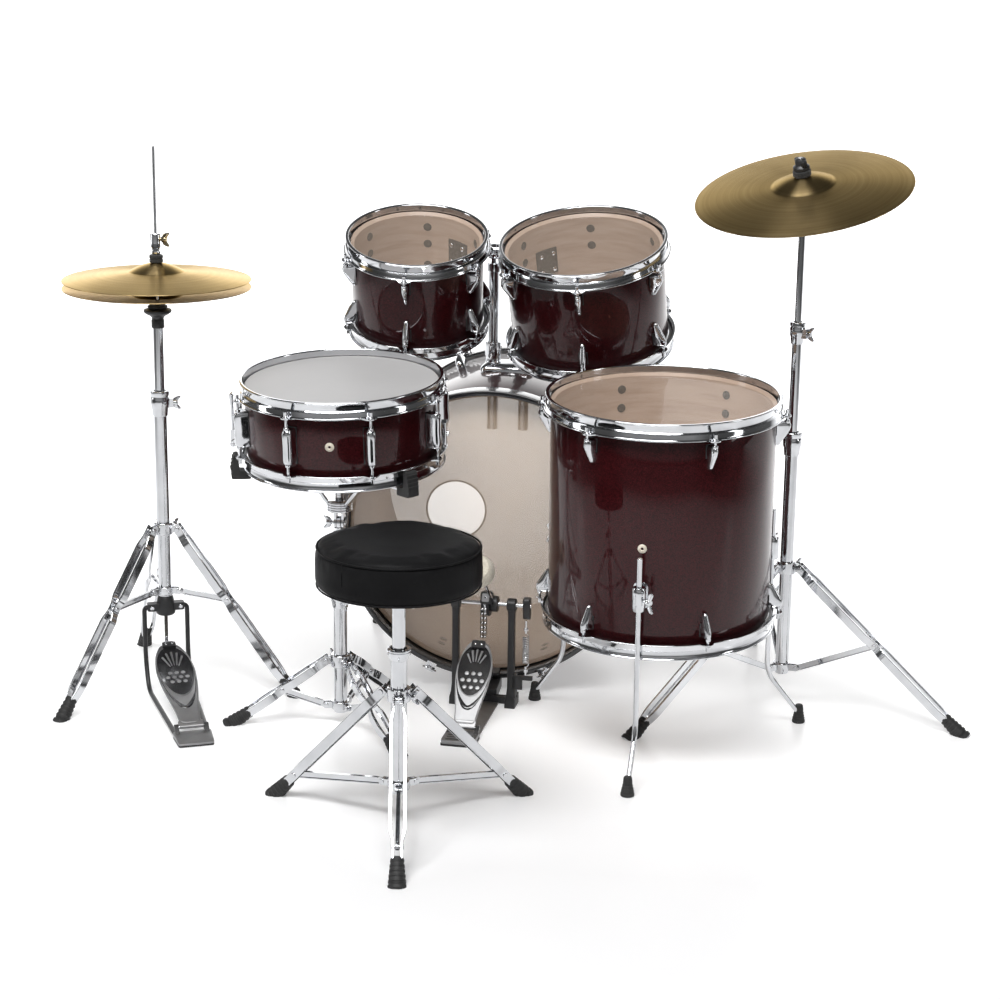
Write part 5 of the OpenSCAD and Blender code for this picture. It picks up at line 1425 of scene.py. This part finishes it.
def footboard(piece, length, half, toe_half, at):
    """Silver teardrop plate from the heel's hinge at x = 0 to the toe, with a black inset and line."""
    side = [(5, -20), (length * 0.14, -21.5), (length * 0.48, -half + 3), (length * 0.67, -half),
            (length * 0.86, -half + 6), (length, -toe_half)]
    shape = rounded(side + [(x, -y) for x, y in reversed(side)], 17, 6)
    piece.prism(shape, 0.6, 4.6, "satin_plate", at)
    piece.rod([Vector((2 + p.x * 0.985, p.y * 0.96, 4.7)) for p in shape], 1.0, "satin_plate", at, 8,
              loop=True)
    mid_x, long, wide = length * 0.655, length * 0.305, half * 0.90
    oval = [(mid_x + long * c, wide * s * (1 + 0.10 * c)) for c, s in circle(1, 56)]
    piece.prism(oval, 4.2, 5.5, "black_lacquer", at)
    piece.rod([Vector((x, y, 5.2)) for x, y in oval], 0.9, "satin_plate", at, 8, loop=True)
    # black line that runs from the oval's sides to a point above the heel
    line = smooth_path([(mid_x - long * 0.25, -wide - 1, 4.9), (mid_x - long, -wide * 0.72, 4.9),
                        (length * 0.17, 0, 4.9), (mid_x - long, wide * 0.72, 4.9),
                        (mid_x - long * 0.25, wide + 1, 4.9)], 30, 8)
    n = len(line) - 1
    piece.rod(line, [0.8 + 4.2 * math.sin(math.pi * k / n) ** 2 for k in range(n + 1)], "black_lacquer",
              at @ Matrix.Diagonal((1, 1, 0.25, 1)) @ shift(0, 0, 14.4), 8)
    # generic grip pattern: rays at the toe end, round studs below
    for k in range(5):
        a = math.radians(-44 + 22 * k)
        near = (mid_x + 6 + 12 * math.cos(a), 12 * math.sin(a))
        far = (mid_x + 6 + long * 0.68 * math.cos(a), wide * 0.80 * math.sin(a))
        piece.rod([(*near, 5.6), (*far, 5.6)], [1.0, 2.4], "satin_plate", at, 10)
    for x, count in ((-8, 3), (-23, 4), (-38, 3)):
        for k in range(count):
            y = (k - (count - 1) / 2) * 12.5
            piece.drum(4.4, 5.0, 6.6, "satin_plate", at @ shift(mid_x + x, y, 0), 0.8, 20)
    # clamp that holds the chain at the toe
    piece.prism(rect(length - 17, -toe_half + 3, length - 1, toe_half - 3, 3, 3), 4.6, 11, "black_casting",
                at)
    for y in (-6, 6):
        piece.drum(2.6, 10.6, 12.6, "chrome", at @ shift(length - 9, y, 0), 0.8, 16)


def make_hihat_footboard():
    piece = Piece("hihat_footboard_skin", HAT_PLACE)
    run = Vector((HAT_HEEL - HAT_TOE_X, HAT_TOE_Z - HAT_HEEL_Z))
    length = run.length
    rise = math.degrees(math.atan2(run.y, run.x))
    at = shift(HAT_HEEL, 0, HAT_HEEL_Z) @ turn("Y", rise) @ turn("Z", 180)
    footboard(piece, length, 38, 16, at)
    piece.pin(0, 0, 3, -31, 31, "chrome", at, 0.8)
    piece.bar((0, 0), (12, 1.4), 7, -22.6, 22.6, "satin_plate", at)
    piece.make("hihat_board", ["hihat_footboard"], bevel=0.5)


# ---------------------------------------------------------------- crash stand

CRASH_HINGES = [joint_at("crash_leg_%d_fold" % i) for i in (1, 2, 3)]
CRASH_CENTRE = sum(CRASH_HINGES, Vector()) / 3
CRASH_FIRST = math.degrees(math.atan2(*(CRASH_HINGES[0] - CRASH_CENTRE).yx))
CRASH_HINGE_R = (CRASH_HINGES[0] - CRASH_CENTRE).to_2d().length / MM
CRASH_COLLAR_Z = CRASH_CENTRE.z / MM
CRASH_HUB_Z = joint_at("crash_strut_1_fold").z / MM
CRASH_FOOT_R = 363
CRASH_SHARE = 0.4665
CRASH_TUBE_R = 12.7
CRASH_MIDDLE_R = 9.5
CRASH_TOP_R = 6.8


def make_crash_tripod():
    place = under(CRASH_CENTRE)
    base = Piece("crash_base_tube_skin", place)
    base.pipe(CRASH_TUBE_R, CRASH_TUBE_R - 1.8, 64, 506, "chrome", steps=48)
    height_clamp(base, CRASH_TUBE_R, 548, 46, 75)
    hub(base, CRASH_TUBE_R, CRASH_HUB_Z, CRASH_HINGE_R, CRASH_FIRST)
    base.make("kit", ["crash_base_tube"], bevel=0.35)
    ring = Piece("crash_collar_skin", place)
    collar(ring, CRASH_TUBE_R, CRASH_COLLAR_Z, CRASH_HINGE_R, CRASH_FIRST)
    ring.make("crash_collar", ["crash_collar"], bevel=0.35)
    end = leg_point((CRASH_HINGE_R, CRASH_COLLAR_Z), CRASH_FOOT_R, CRASH_SHARE)
    for i in range(3):
        at = turn("Z", CRASH_FIRST + 120 * i)
        leg = Piece("crash_leg_%d_skin" % (i + 1), place)
        tripod_leg(leg, (CRASH_HINGE_R, CRASH_COLLAR_Z), CRASH_FOOT_R, CRASH_SHARE, at)
        leg.rests_on_floor()
        leg.make("crash_leg_%d" % (i + 1), ["crash_leg_%d" % (i + 1)], bevel=0.35)
        strut = Piece("crash_strut_%d_skin" % (i + 1), place)
        tripod_strut(strut, (CRASH_HINGE_R, CRASH_HUB_Z), end, at)
        strut.make("crash_strut_%d" % (i + 1), ["crash_strut_%d" % (i + 1)], bevel=0.35)


def crash_edge_lift():
    """How far the cymbal's edge lies above the tilt hinge, along the cymbal's own axis."""
    hinge = joint_at("crash_tilt")
    axis = Vector(joints["crash_spin"]["axis"]).normalized()
    heights = [(v.co - hinge).dot(axis) for v in frame["nodes"]["crash_cymbal"].data.vertices]
    return min(heights) / MM + CYMBAL_T


def make_crash_tilter(place, bell):
    """Ears, rod, felts, cup and wing nut that hold the cymbal. bell is the height of the bell's top."""
    tilter = Piece("crash_tilter_skin", place)
    for lo, hi in both_sides(4.4, 9.2):
        tilter.bar((0, 0), (0, 20), 18, lo, hi, "chrome")
    tilter.pin(0, 0, 5.4, -11.6, -9, "chrome", edge=1.2)
    wing_bolt(tilter, turn("Z", 90), 9, 16, 24)
    tilter.drum(10, 15, 23, "chrome", edge=1.6, steps=36)
    tilter.drum(4, 20, bell + 35.6, "chrome", edge=0.6, steps=20)
    seat = shift(0, 0, bell)
    felt = [(4.2, 0), (12.8, 0), (14, 1.2), (14, 6.4), (12.8, 7.6), (4.2, 7.6)]
    tilter.lathe([(r, z - CYMBAL_T - 8.9) for r, z in felt], "black_felt", seat, 36, closed=True)
    tilter.lathe([(4.2, -22), (9, -22), (14, -19), (16, -12), (16, -10.6), (4.2, -10.6)], "black_casting",
                 seat, 36, closed=True)
    tilter.lathe([(4.2 + (r - 4.2) * 1.3, z * 1.6 + 0.4) for r, z in felt], "black_felt", seat, 36,
                 closed=True)
    tilter.lathe([(0, 12.6), (14, 12.6), (15.4, 14), (15.4, 19), (13, 21), (11, 23), (10, 33), (8, 34.6),
                  (0, 35)],
                 "black_casting", seat, 36)
    # the nut's wings: reach, lowest and highest point, and half thickness
    wing = [(2, 20, 34, 5.4), (9, 20, 34.6, 5.4), (13.5, 20.4, 35, 4.8), (16.2, 22, 34.4, 3.8),
            (17, 25, 32, 1.8)]
    for side in (-1, 1):
        tilter.loft([[(side * x, p.x, p.y) for p in rect(-t, z0, t, z1 - 1.8, 2, 3)]
                     for x, z0, z1, t in wing],
                    "black_casting", seat @ turn("Z", 60))
    tilter.make("crash_tilter", ["crash_tilter"], bevel=0.4)


def make_crash_top():
    place = under(CRASH_CENTRE)
    tube = Piece("crash_middle_tube_skin", place)
    tube.pipe(CRASH_MIDDLE_R, CRASH_MIDDLE_R - 1.6, 350, 722, "chrome", steps=40)
    height_clamp(tube, CRASH_MIDDLE_R, 760, 42, -30)
    tube.make("crash_middle", ["crash_middle_tube"], bevel=0.35)
    hinge = joint_at("crash_tilt")
    spin_axis = Vector(joints["crash_spin"]["axis"])
    lean_turn = math.degrees(math.atan2(spin_axis.y, spin_axis.x))
    lean = math.degrees(math.acos(spin_axis.z))
    hinge_z = hinge.z / MM
    back = (hinge - CRASH_CENTRE).to_2d().length / MM
    top = Piece("crash_top_tube_skin", place @ turn("Z", lean_turn))
    top.pipe(CRASH_TOP_R, CRASH_TOP_R - 1.4, 560, hinge_z - 20, "chrome", steps=32)
    top.lathe([(6, -31), (9, -31), (10, -29.6), (10, -18), (8.6, -16.4), (0, -16)], "chrome",
              shift(0, 0, hinge_z), 32)
    top.bar((-back / 2, hinge_z - 14), (-back, hinge_z), 20, -3.9, 3.9, "chrome")
    for z in (-3.8, 3.8):
        teeth(top, shift(-back, 0, hinge_z) @ turn("X", 90), 20, 0, 6, 9.4, z, 0.6)
    top.make("crash_top", ["crash_top_tube"], bevel=0.4)
    seat_place = shift(*hinge) @ turn("Z", lean_turn) @ turn("Y", lean)
    edge = crash_edge_lift()
    make_crash_tilter(seat_place, edge + BOW_H + BELL_H)
    cymbal = Piece("crash_cymbal_skin", seat_place @ shift(0, 0, edge * MM))
    add_cymbal(cymbal, "bronze", 203, 60, 6)
    cymbal.make("crash_cymbal", ["crash_cymbal"])


# ---------------------------------------------------------------- bass pedal

PEDAL = joint_at("pedal_beater_swing")
PEDAL_AXIS = Vector(joints["pedal_beater_swing"]["axis"])
PEDAL_TURN = math.degrees(math.atan2(-PEDAL_AXIS.y, -PEDAL_AXIS.x))
AXLE_Z = PEDAL.z / MM
BOARD_HINGE = (-174, 16)
BOARD_TOE = (-36, 138)
POST_X = 55
CHAIN_X = 6
CAM_R = 33
LEVER_X = POST_X + 30
BEATER_LEAN = 54
BEATER_REACH = 185


PEDAL_PLACE = under(PEDAL) @ turn("Z", PEDAL_TURN)


def make_pedal_frame():
    piece = Piece("pedal_frame_skin", PEDAL_PLACE)
    post = [(0, 10.6, 15), (14, 10.4, 14), (24, 8, 11), (40, 6.6, 9), (AXLE_Z - 26, 6.4, 8.6),
            (AXLE_Z - 10, 7, 9)]
    for x in (-POST_X, POST_X):
        piece.loft([ring_at(rect(-hx, -hy, hx, hy, 3, 3), z, x) for z, hx, hy in post], "black_casting")
        piece.lathe([(4.1, -8.8), (11.4, -8.8), (13, -7), (13, 7), (11.4, 8.8), (4.1, 8.8)], "black_casting",
                    shift(x, 0, AXLE_Z) @ turn("Y", 90), 40, closed=True)
        piece.block((x - 10.6, 10, 0), (x + 10.6, 27.6, 21), "black_casting")
    piece.block((-55, 9, 0.2), (55, 25, 13.6), "black_casting")
    # base plate, then the heel's rubber and its plate with grip bars
    piece.prism(rect(-29.6, -200, 29.6, 11.6, 5, 4), 0.2, 3, "satin_plate")
    piece.prism(rect(-32.6, -236, 32.6, -180, 6, 4), 0, 3.6, "rubber")
    piece.prism(rect(-31.6, -235, 31.6, -181, 6, 4), 3.6, 11, "satin_plate")
    for y in (-226, -215, -204):
        piece.rod([(-24, y, 11), (24, y, 11)], 1.1, "black_casting", HERE, 8)
    for lo, hi in both_sides(22, 30):
        piece.bar(BOARD_HINGE, (-190, 7), 11, lo, hi, "black_casting", turn("Z", 90))
    # bracket that holds the spring's lower end
    piece.block((POST_X + 5, -13.8, 22), (POST_X + 11, 7.8, 68), "black_casting")
    piece.block((POST_X + 5, -13.8, 40), (POST_X + 24, -6.2, 67.6), "black_casting")
    piece.block((POST_X + 18, -13.8, 60), (POST_X + 44, -6.2, 68), "black_casting")
    # clamp on the bass drum's hoop
    hoop_z = heights("bass_hoops")[0]
    clamp = in_millimetres(PEDAL_PLACE.inverted() @ shift(PEDAL.x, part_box("bass_hoops")[0][1], 0))
    piece.prism(rect(-24, -62, 24, 24, 6, 4), 3, hoop_z - 0.3, "black_casting", clamp)
    piece.prism(rect(-20, -12, 20, 22, 6, 4), hoop_z + 11.3, hoop_z + 16.2, "black_casting", clamp)
    piece.block((-6, -16, 20), (6, -10.2, hoop_z + 20), "black_casting", clamp)
    wing_bolt(piece, clamp @ shift(0, -30, hoop_z - 1) @ turn("Y", -90), 0, 18, 26, "black_casting")
    piece.make("kit", ["pedal_frame"], bevel=0.8)


def make_pedal_footboard():
    piece = Piece("pedal_footboard_skin", PEDAL_PLACE)
    run = Vector(BOARD_TOE) - Vector(BOARD_HINGE)
    rise = math.degrees(math.atan2(run.y, run.x))
    at = shift(0, *BOARD_HINGE) @ turn("Z", 90) @ turn("Y", -rise)
    footboard(piece, run.length, 35, 16, at)
    piece.pin(0, 0, 3, -30, 30, "chrome", at)
    piece.bar((0, 0), (12, 1.4), 7, -20.8, 20.8, "satin_plate", at)
    piece.make("pedal_board", ["pedal_footboard"], bevel=0.5)
    links = Piece("pedal_chain_skin", PEDAL_PLACE)
    low, high = heights("pedal_chain")
    chain(links, CHAIN_X, -CAM_R + 0.5, low + 2.4, high - 3, HERE, (-3, 3))
    links.make("pedal_board", ["pedal_chain"])


def make_pedal_beater():
    """Axle, toothed cam, hub, lever, and the rod with its round felt beater."""
    piece = Piece("pedal_beater_skin", PEDAL_PLACE @ shift(0, 0, AXLE_Z * MM))
    across = turn("Y", 90)
    piece.drum(4, -POST_X - 13, POST_X + 38, "chrome", across, 0.6, 28)
    cam = shift(CHAIN_X, 0, 0) @ across
    rim = []
    for k, (c, s) in enumerate(circle(1, 96)):
        r = CAM_R - 9.6 + (1.6 if k % 4 < 2 else 0)
        rim.append((r * c, r * s))
    piece.prism(rim, -2, 2, "chrome", cam)
    for lo, hi in both_sides(3, 7.6):
        piece.drum(CAM_R - 8.4, lo, hi, "black_casting", cam, 1, 56)
    piece.drum(15.6, 8, 22, "black_casting", cam, 1.6, 48)
    # cover over the cam, with a bright plate and a screw
    face = shift(CHAIN_X, -10, 13) @ turn("X", 68)
    piece.prism(rect(-9, -12, 14, 12, 3, 3), -2, 11, "black_casting", face)
    piece.prism(rect(-6, -8, 8, 8, 2.5, 3), 11, 12.2, "satin_plate", face)
    piece.drum(2.6, 12, 13.6, "chrome", face @ shift(1, 0, 0), 0.8, 16)
    lever = [(15.6, 8), (12, 11), (0, 11.8), (-14, 9.6), (-24, 6.6), (-25.8, 4.4)]
    piece.loft([ring_at(rect(-7.4, -half, 6.4, half, 2.5, 3), z) for z, half in lever], "black_casting",
               shift(LEVER_X, 0, 0))
    rod = turn("X", BEATER_LEAN) @ shift(CHAIN_X + 14, 0, 0)
    piece.drum(3, -20, BEATER_REACH + 22, "chrome", rod, 0.8, 20)
    head = rod @ shift(0, 0, BEATER_REACH)
    piece.lathe([(3.1, -22), (22, -22), (25, -19), (27.6, -13), (29.6, -6), (30.2, 0), (29.6, 6), (27.6, 13),
                 (25, 19), (22, 22), (3.1, 22)], "felt", head, 56, closed=True)
    for lo, hi in both_sides(21.9, 23.4):
        piece.drum(12, lo, hi, "black_casting", head, 0.6, 32)
    piece.make("pedal_beater", ["pedal_beater"], bevel=0.4)


def make_pedal_spring():
    piece = Piece("pedal_spring_skin", PEDAL_PLACE @ shift(LEVER_X * MM, -10 * MM, 0))
    low, high, coils, coil_r, steps = 94, 148, 15, 5.8, 16
    coil = [polar(coil_r, 360 / steps * k, low + (high - low) * k / (steps * coils))
            for k in range(steps * coils + 1)]
    lower_hook = [(0, 0, low - 9), (1.5, 0, low - 7), (5, 0, low - 4)]
    upper_hook = [(5, 0, high + 4), (1.5, 0, high + 7), (0, 0, high + 10)]
    piece.rod(lower_hook + coil + upper_hook, 1.15, "chrome", HERE, 8)
    piece.drum(2, 68, 88, "chrome", edge=0.5, steps=16)
    piece.drum(2, 154, 180.2, "chrome", edge=0.5, steps=16)
    piece.drum(4.6, 76, 82, "chrome", edge=0.8, steps=6)
    piece.drum(4.6, 160, 166, "chrome", edge=0.8, steps=6)
    piece.make("pedal_beater", ["pedal_spring"])


# ---------------------------------------------------------------- throne

THRONE = joint_at("throne_swivel")
SEAT_R = 144.0


def make_throne_post():
    z = THRONE.z / MM
    piece = Piece("throne_post_skin", under(THRONE))
    piece.pipe(11.1, 9.3, 150, z - 8, "chrome", steps=40)
    piece.lathe([(11.0, z - 31), (15.4, z - 31), (17, z - 29), (17, z - 6), (11, z - 6)], "chrome", steps=40)
    wing_bolt(piece, turn("Z", -40) @ shift(0, 0, z - 18), 14, 18, 26)
    piece.lathe([(0, z - 6), (93, z - 6), (95, z - 4.6), (95, z - 0.8), (94, z - 0.4), (0, z - 0.4)],
                "black_casting", steps=80)
    for k in range(4):
        piece.drum(5, z - 8.6, z - 5, "chrome", turn("Z", 45 + 90 * k) @ shift(70, 0, 0), 1.2, 18)
    piece.make("throne_post", ["throne_post"], bevel=0.4)


def inflated(name, profile, pressure, cap, keep_below):
    """A cushion blown up by a short cloth simulation. Points below keep_below stay where they are."""
    shell = Piece(name, under(THRONE))
    shell.lathe(profile, "seat_vinyl", steps=120)
    mesh = bpy.data.meshes.new(name)
    mesh.from_pydata([v * MM for v in shell.verts], [], shell.faces)
    obj = bpy.data.objects.new(name, mesh)
    bpy.context.collection.objects.link(obj)
    obj.matrix_world = shell.place
    work = bmesh.new()
    work.from_mesh(mesh)
    bmesh.ops.recalc_face_normals(work, faces=work.faces)
    work.to_mesh(mesh)
    work.free()
    bpy.context.view_layer.objects.active = obj
    obj.select_set(True)
    mesh.remesh_voxel_size = 0.0055
    bpy.ops.object.voxel_remesh()
    rest = [v.co.copy() for v in mesh.vertices]
    group = obj.vertex_groups.new(name="held")
    group.add([v.index for v in mesh.vertices if v.co.z < keep_below * MM], 1.0, "REPLACE")
    cloth = obj.modifiers.new("cloth", "CLOTH")
    cloth.settings.use_pressure = True
    cloth.settings.uniform_pressure_force = pressure
    cloth.settings.effector_weights.gravity = 0
    cloth.settings.vertex_group_mass = "held"
    cloth.point_cache.frame_start = 1
    cloth.point_cache.frame_end = 20
    for step in range(1, 21):
        bpy.context.scene.frame_set(step)
    blown = obj.evaluated_get(bpy.context.evaluated_depsgraph_get()).data
    spots = []
    for start, vertex in zip(rest, blown.vertices):
        move = vertex.co - start
        if move.length > cap * MM:
            move *= cap * MM / move.length
        spots.append(start + move)
    obj.modifiers.remove(cloth)
    for vertex, spot in zip(mesh.vertices, spots):
        vertex.co = spot
    bpy.context.scene.frame_set(1)
    obj.select_set(False)
    return obj


def make_throne_seat():
    z = THRONE.z / MM
    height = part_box("throne_seat")[1][2] / MM - z
    r = SEAT_R - 3.5
    profile = [(0, z + 1), (r - 14, z + 1), (r - 4, z + 6), (r - 1, z + 16), (r - 2, z + 36),
               (r - 1, z + height - 20), (r - 3, z + height - 12), (r - 12, z + height - 6),
               (r - 44, z + height - 4.6), (0, z + height - 4.6)]
    seat = inflated("throne_seat_cover", profile, 3.0, 5, z + 8)
    seat.data.materials.clear()
    seat.data.materials.append(MATERIALS["seat_vinyl"])
    # take out what the voxels leave
    for _ in range(3):
        work = bmesh.new()
        work.from_mesh(seat.data)
        bmesh.ops.smooth_vert(work, verts=work.verts, factor=0.5, use_axis_x=True, use_axis_y=True,
                              use_axis_z=True)
        work.to_mesh(seat.data)
        work.free()
    seam_up, hem_up = height - 14, 5.0
    rim = {up: max(math.hypot(v.co.x, v.co.y) for v in seat.data.vertices
                   if abs(v.co.z / MM - z - up) < 4) / MM
           for up in (seam_up, hem_up)}
    # soft wrinkles in the side, a drawn-in top seam, and the dip where the player sits
    random.seed(7)
    waves = [(random.choice((5, 7, 9, 12)), random.uniform(0, 6.28), random.uniform(0.15, 0.4))
             for _ in range(6)]
    for v in seat.data.vertices:
        spread = math.hypot(v.co.x, v.co.y) / MM
        up = v.co.z / MM - z
        angle = math.atan2(v.co.y, v.co.x)
        if up > 6 and spread > 100:
            wrinkle = sum(a * math.sin(n * angle + p + up * 0.05) for n, p, a in waves) * 0.35
            seam = -1.6 * math.exp(-((up - seam_up) / 2.6) ** 2)
            push = (wrinkle + seam) * MM
            v.co.x += push * math.cos(angle)
            v.co.y += push * math.sin(angle)
        if up > height - 16:
            v.co.z -= 1.6 * MM * math.exp(-(spread / 70) ** 2)
        v.co.z = min(v.co.z, (z + height - 0.6) * MM)
    seat.data.polygons.foreach_set("use_smooth", [True] * len(seat.data.polygons))
    fine = seat.modifiers.new("fine", "SUBSURF")
    fine.levels = 1
    fine.render_levels = 1
    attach(seat, "throne_seat")
    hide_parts("throne_seat")
    trim = Piece("throne_seat_piping", under(THRONE))
    ring = [(math.cos(2 * math.pi * k / 180), math.sin(2 * math.pi * k / 180)) for k in range(180)]
    for up, inset, thick in ((seam_up, 1.0, 1.7), (hem_up, 0.6, 1.5)):
        out = rim[up] - inset
        trim.rod([(out * c, out * s, z + up) for c, s in ring], thick, "seat_vinyl", HERE, 10, loop=True)
    for k in range(150):
        at = turn("Z", 2.4 * k) @ shift(rim[seam_up] - 1.4, 0, z + seam_up + 4.2)
        trim.rod([(0, -1.3, 0), (0.25, 0, 0.15), (0, 1.3, 0)], 0.3, "seat_vinyl", at, 5)
    seam = turn("Z", -122)
    middle_r = max(math.hypot(v.co.x, v.co.y) for v in seat.data.vertices
                   if abs(v.co.z / MM - z - 40) < 4) / MM
    trim.rod([(rim[hem_up] - 0.8, 0, z + 8), (middle_r - 0.5, 0, z + 40),
              (rim[seam_up] - 0.8, 0, z + seam_up)], 0.9,
             "seat_vinyl", seam, 8)
    trim.make("throne_seat")


# ---------------------------------------------------------------- all of it

make_camera()
make_lights()
make_world()
make_floor()

make_bass_shell()
make_bass_hoops()
make_bass_heads()
make_bass_lugs()
make_spur(-1, "left")
make_spur(1, "right")
make_tom_mount()

make_shell(SMALL, "small_tom", SMALL_ARM)
make_shell(MEDIUM, "medium_tom", MEDIUM_ARM)
make_shell(FLOOR, "kit")
make_shell(SNARE, "snare")
for drum, body in ((SMALL, "small_tom"), (MEDIUM, "medium_tom"), (FLOOR, "kit"), (SNARE, "snare")):
    make_heads(drum, body, "coated_film" if drum is SNARE else "clear_film")
    make_hoops(drum, body)
make_tom_hardware(SMALL, "small_tom_tilt", SMALL_ARM, "small_tom")
make_tom_hardware(MEDIUM, "medium_tom_tilt", MEDIUM_ARM, "medium_tom")
make_tom_post("small_tom", "small_tom_tilt")
make_tom_post("medium_tom", "medium_tom_tilt")
make_floor_tom_lugs()
for leg in range(3):
    make_floor_tom_leg(leg)

make_snare_lugs()
make_throwoff()
make_snare_wires()
make_snare_post()
make_basket()
make_stand_base("snare_stand_base", SNARE_HINGE, tube_r=12.7, bottom=22, top=264, clamp_h=34, bolt_turn=-60,
                collar_z=125, hub_z=36, hinge_r=28, foot_r=208, share=0.46, first=72)
make_stand_base("hihat_stand_base", HAT_CENTRE, tube_r=12.7, bottom=188, top=600, clamp_h=50, bolt_turn=20,
                collar_z=326, hub_z=200, hinge_r=30, foot_r=263, share=0.42, first=-3.9)
make_stand_base("throne_base", THRONE, tube_r=14, bottom=56, top=313, clamp_h=20, bolt_turn=100,
                collar_z=232, hub_z=70, hinge_r=31, foot_r=252, share=0.8, first=-80.7)

make_hihat_cymbals()
make_hihat_tube()
make_hihat_rod()
make_hihat_pedal_frame()
make_hihat_footboard()
make_crash_tripod()
make_crash_top()
make_pedal_frame()
make_pedal_footboard()
make_pedal_beater()
make_pedal_spring()
make_throne_post()
make_throne_seat()
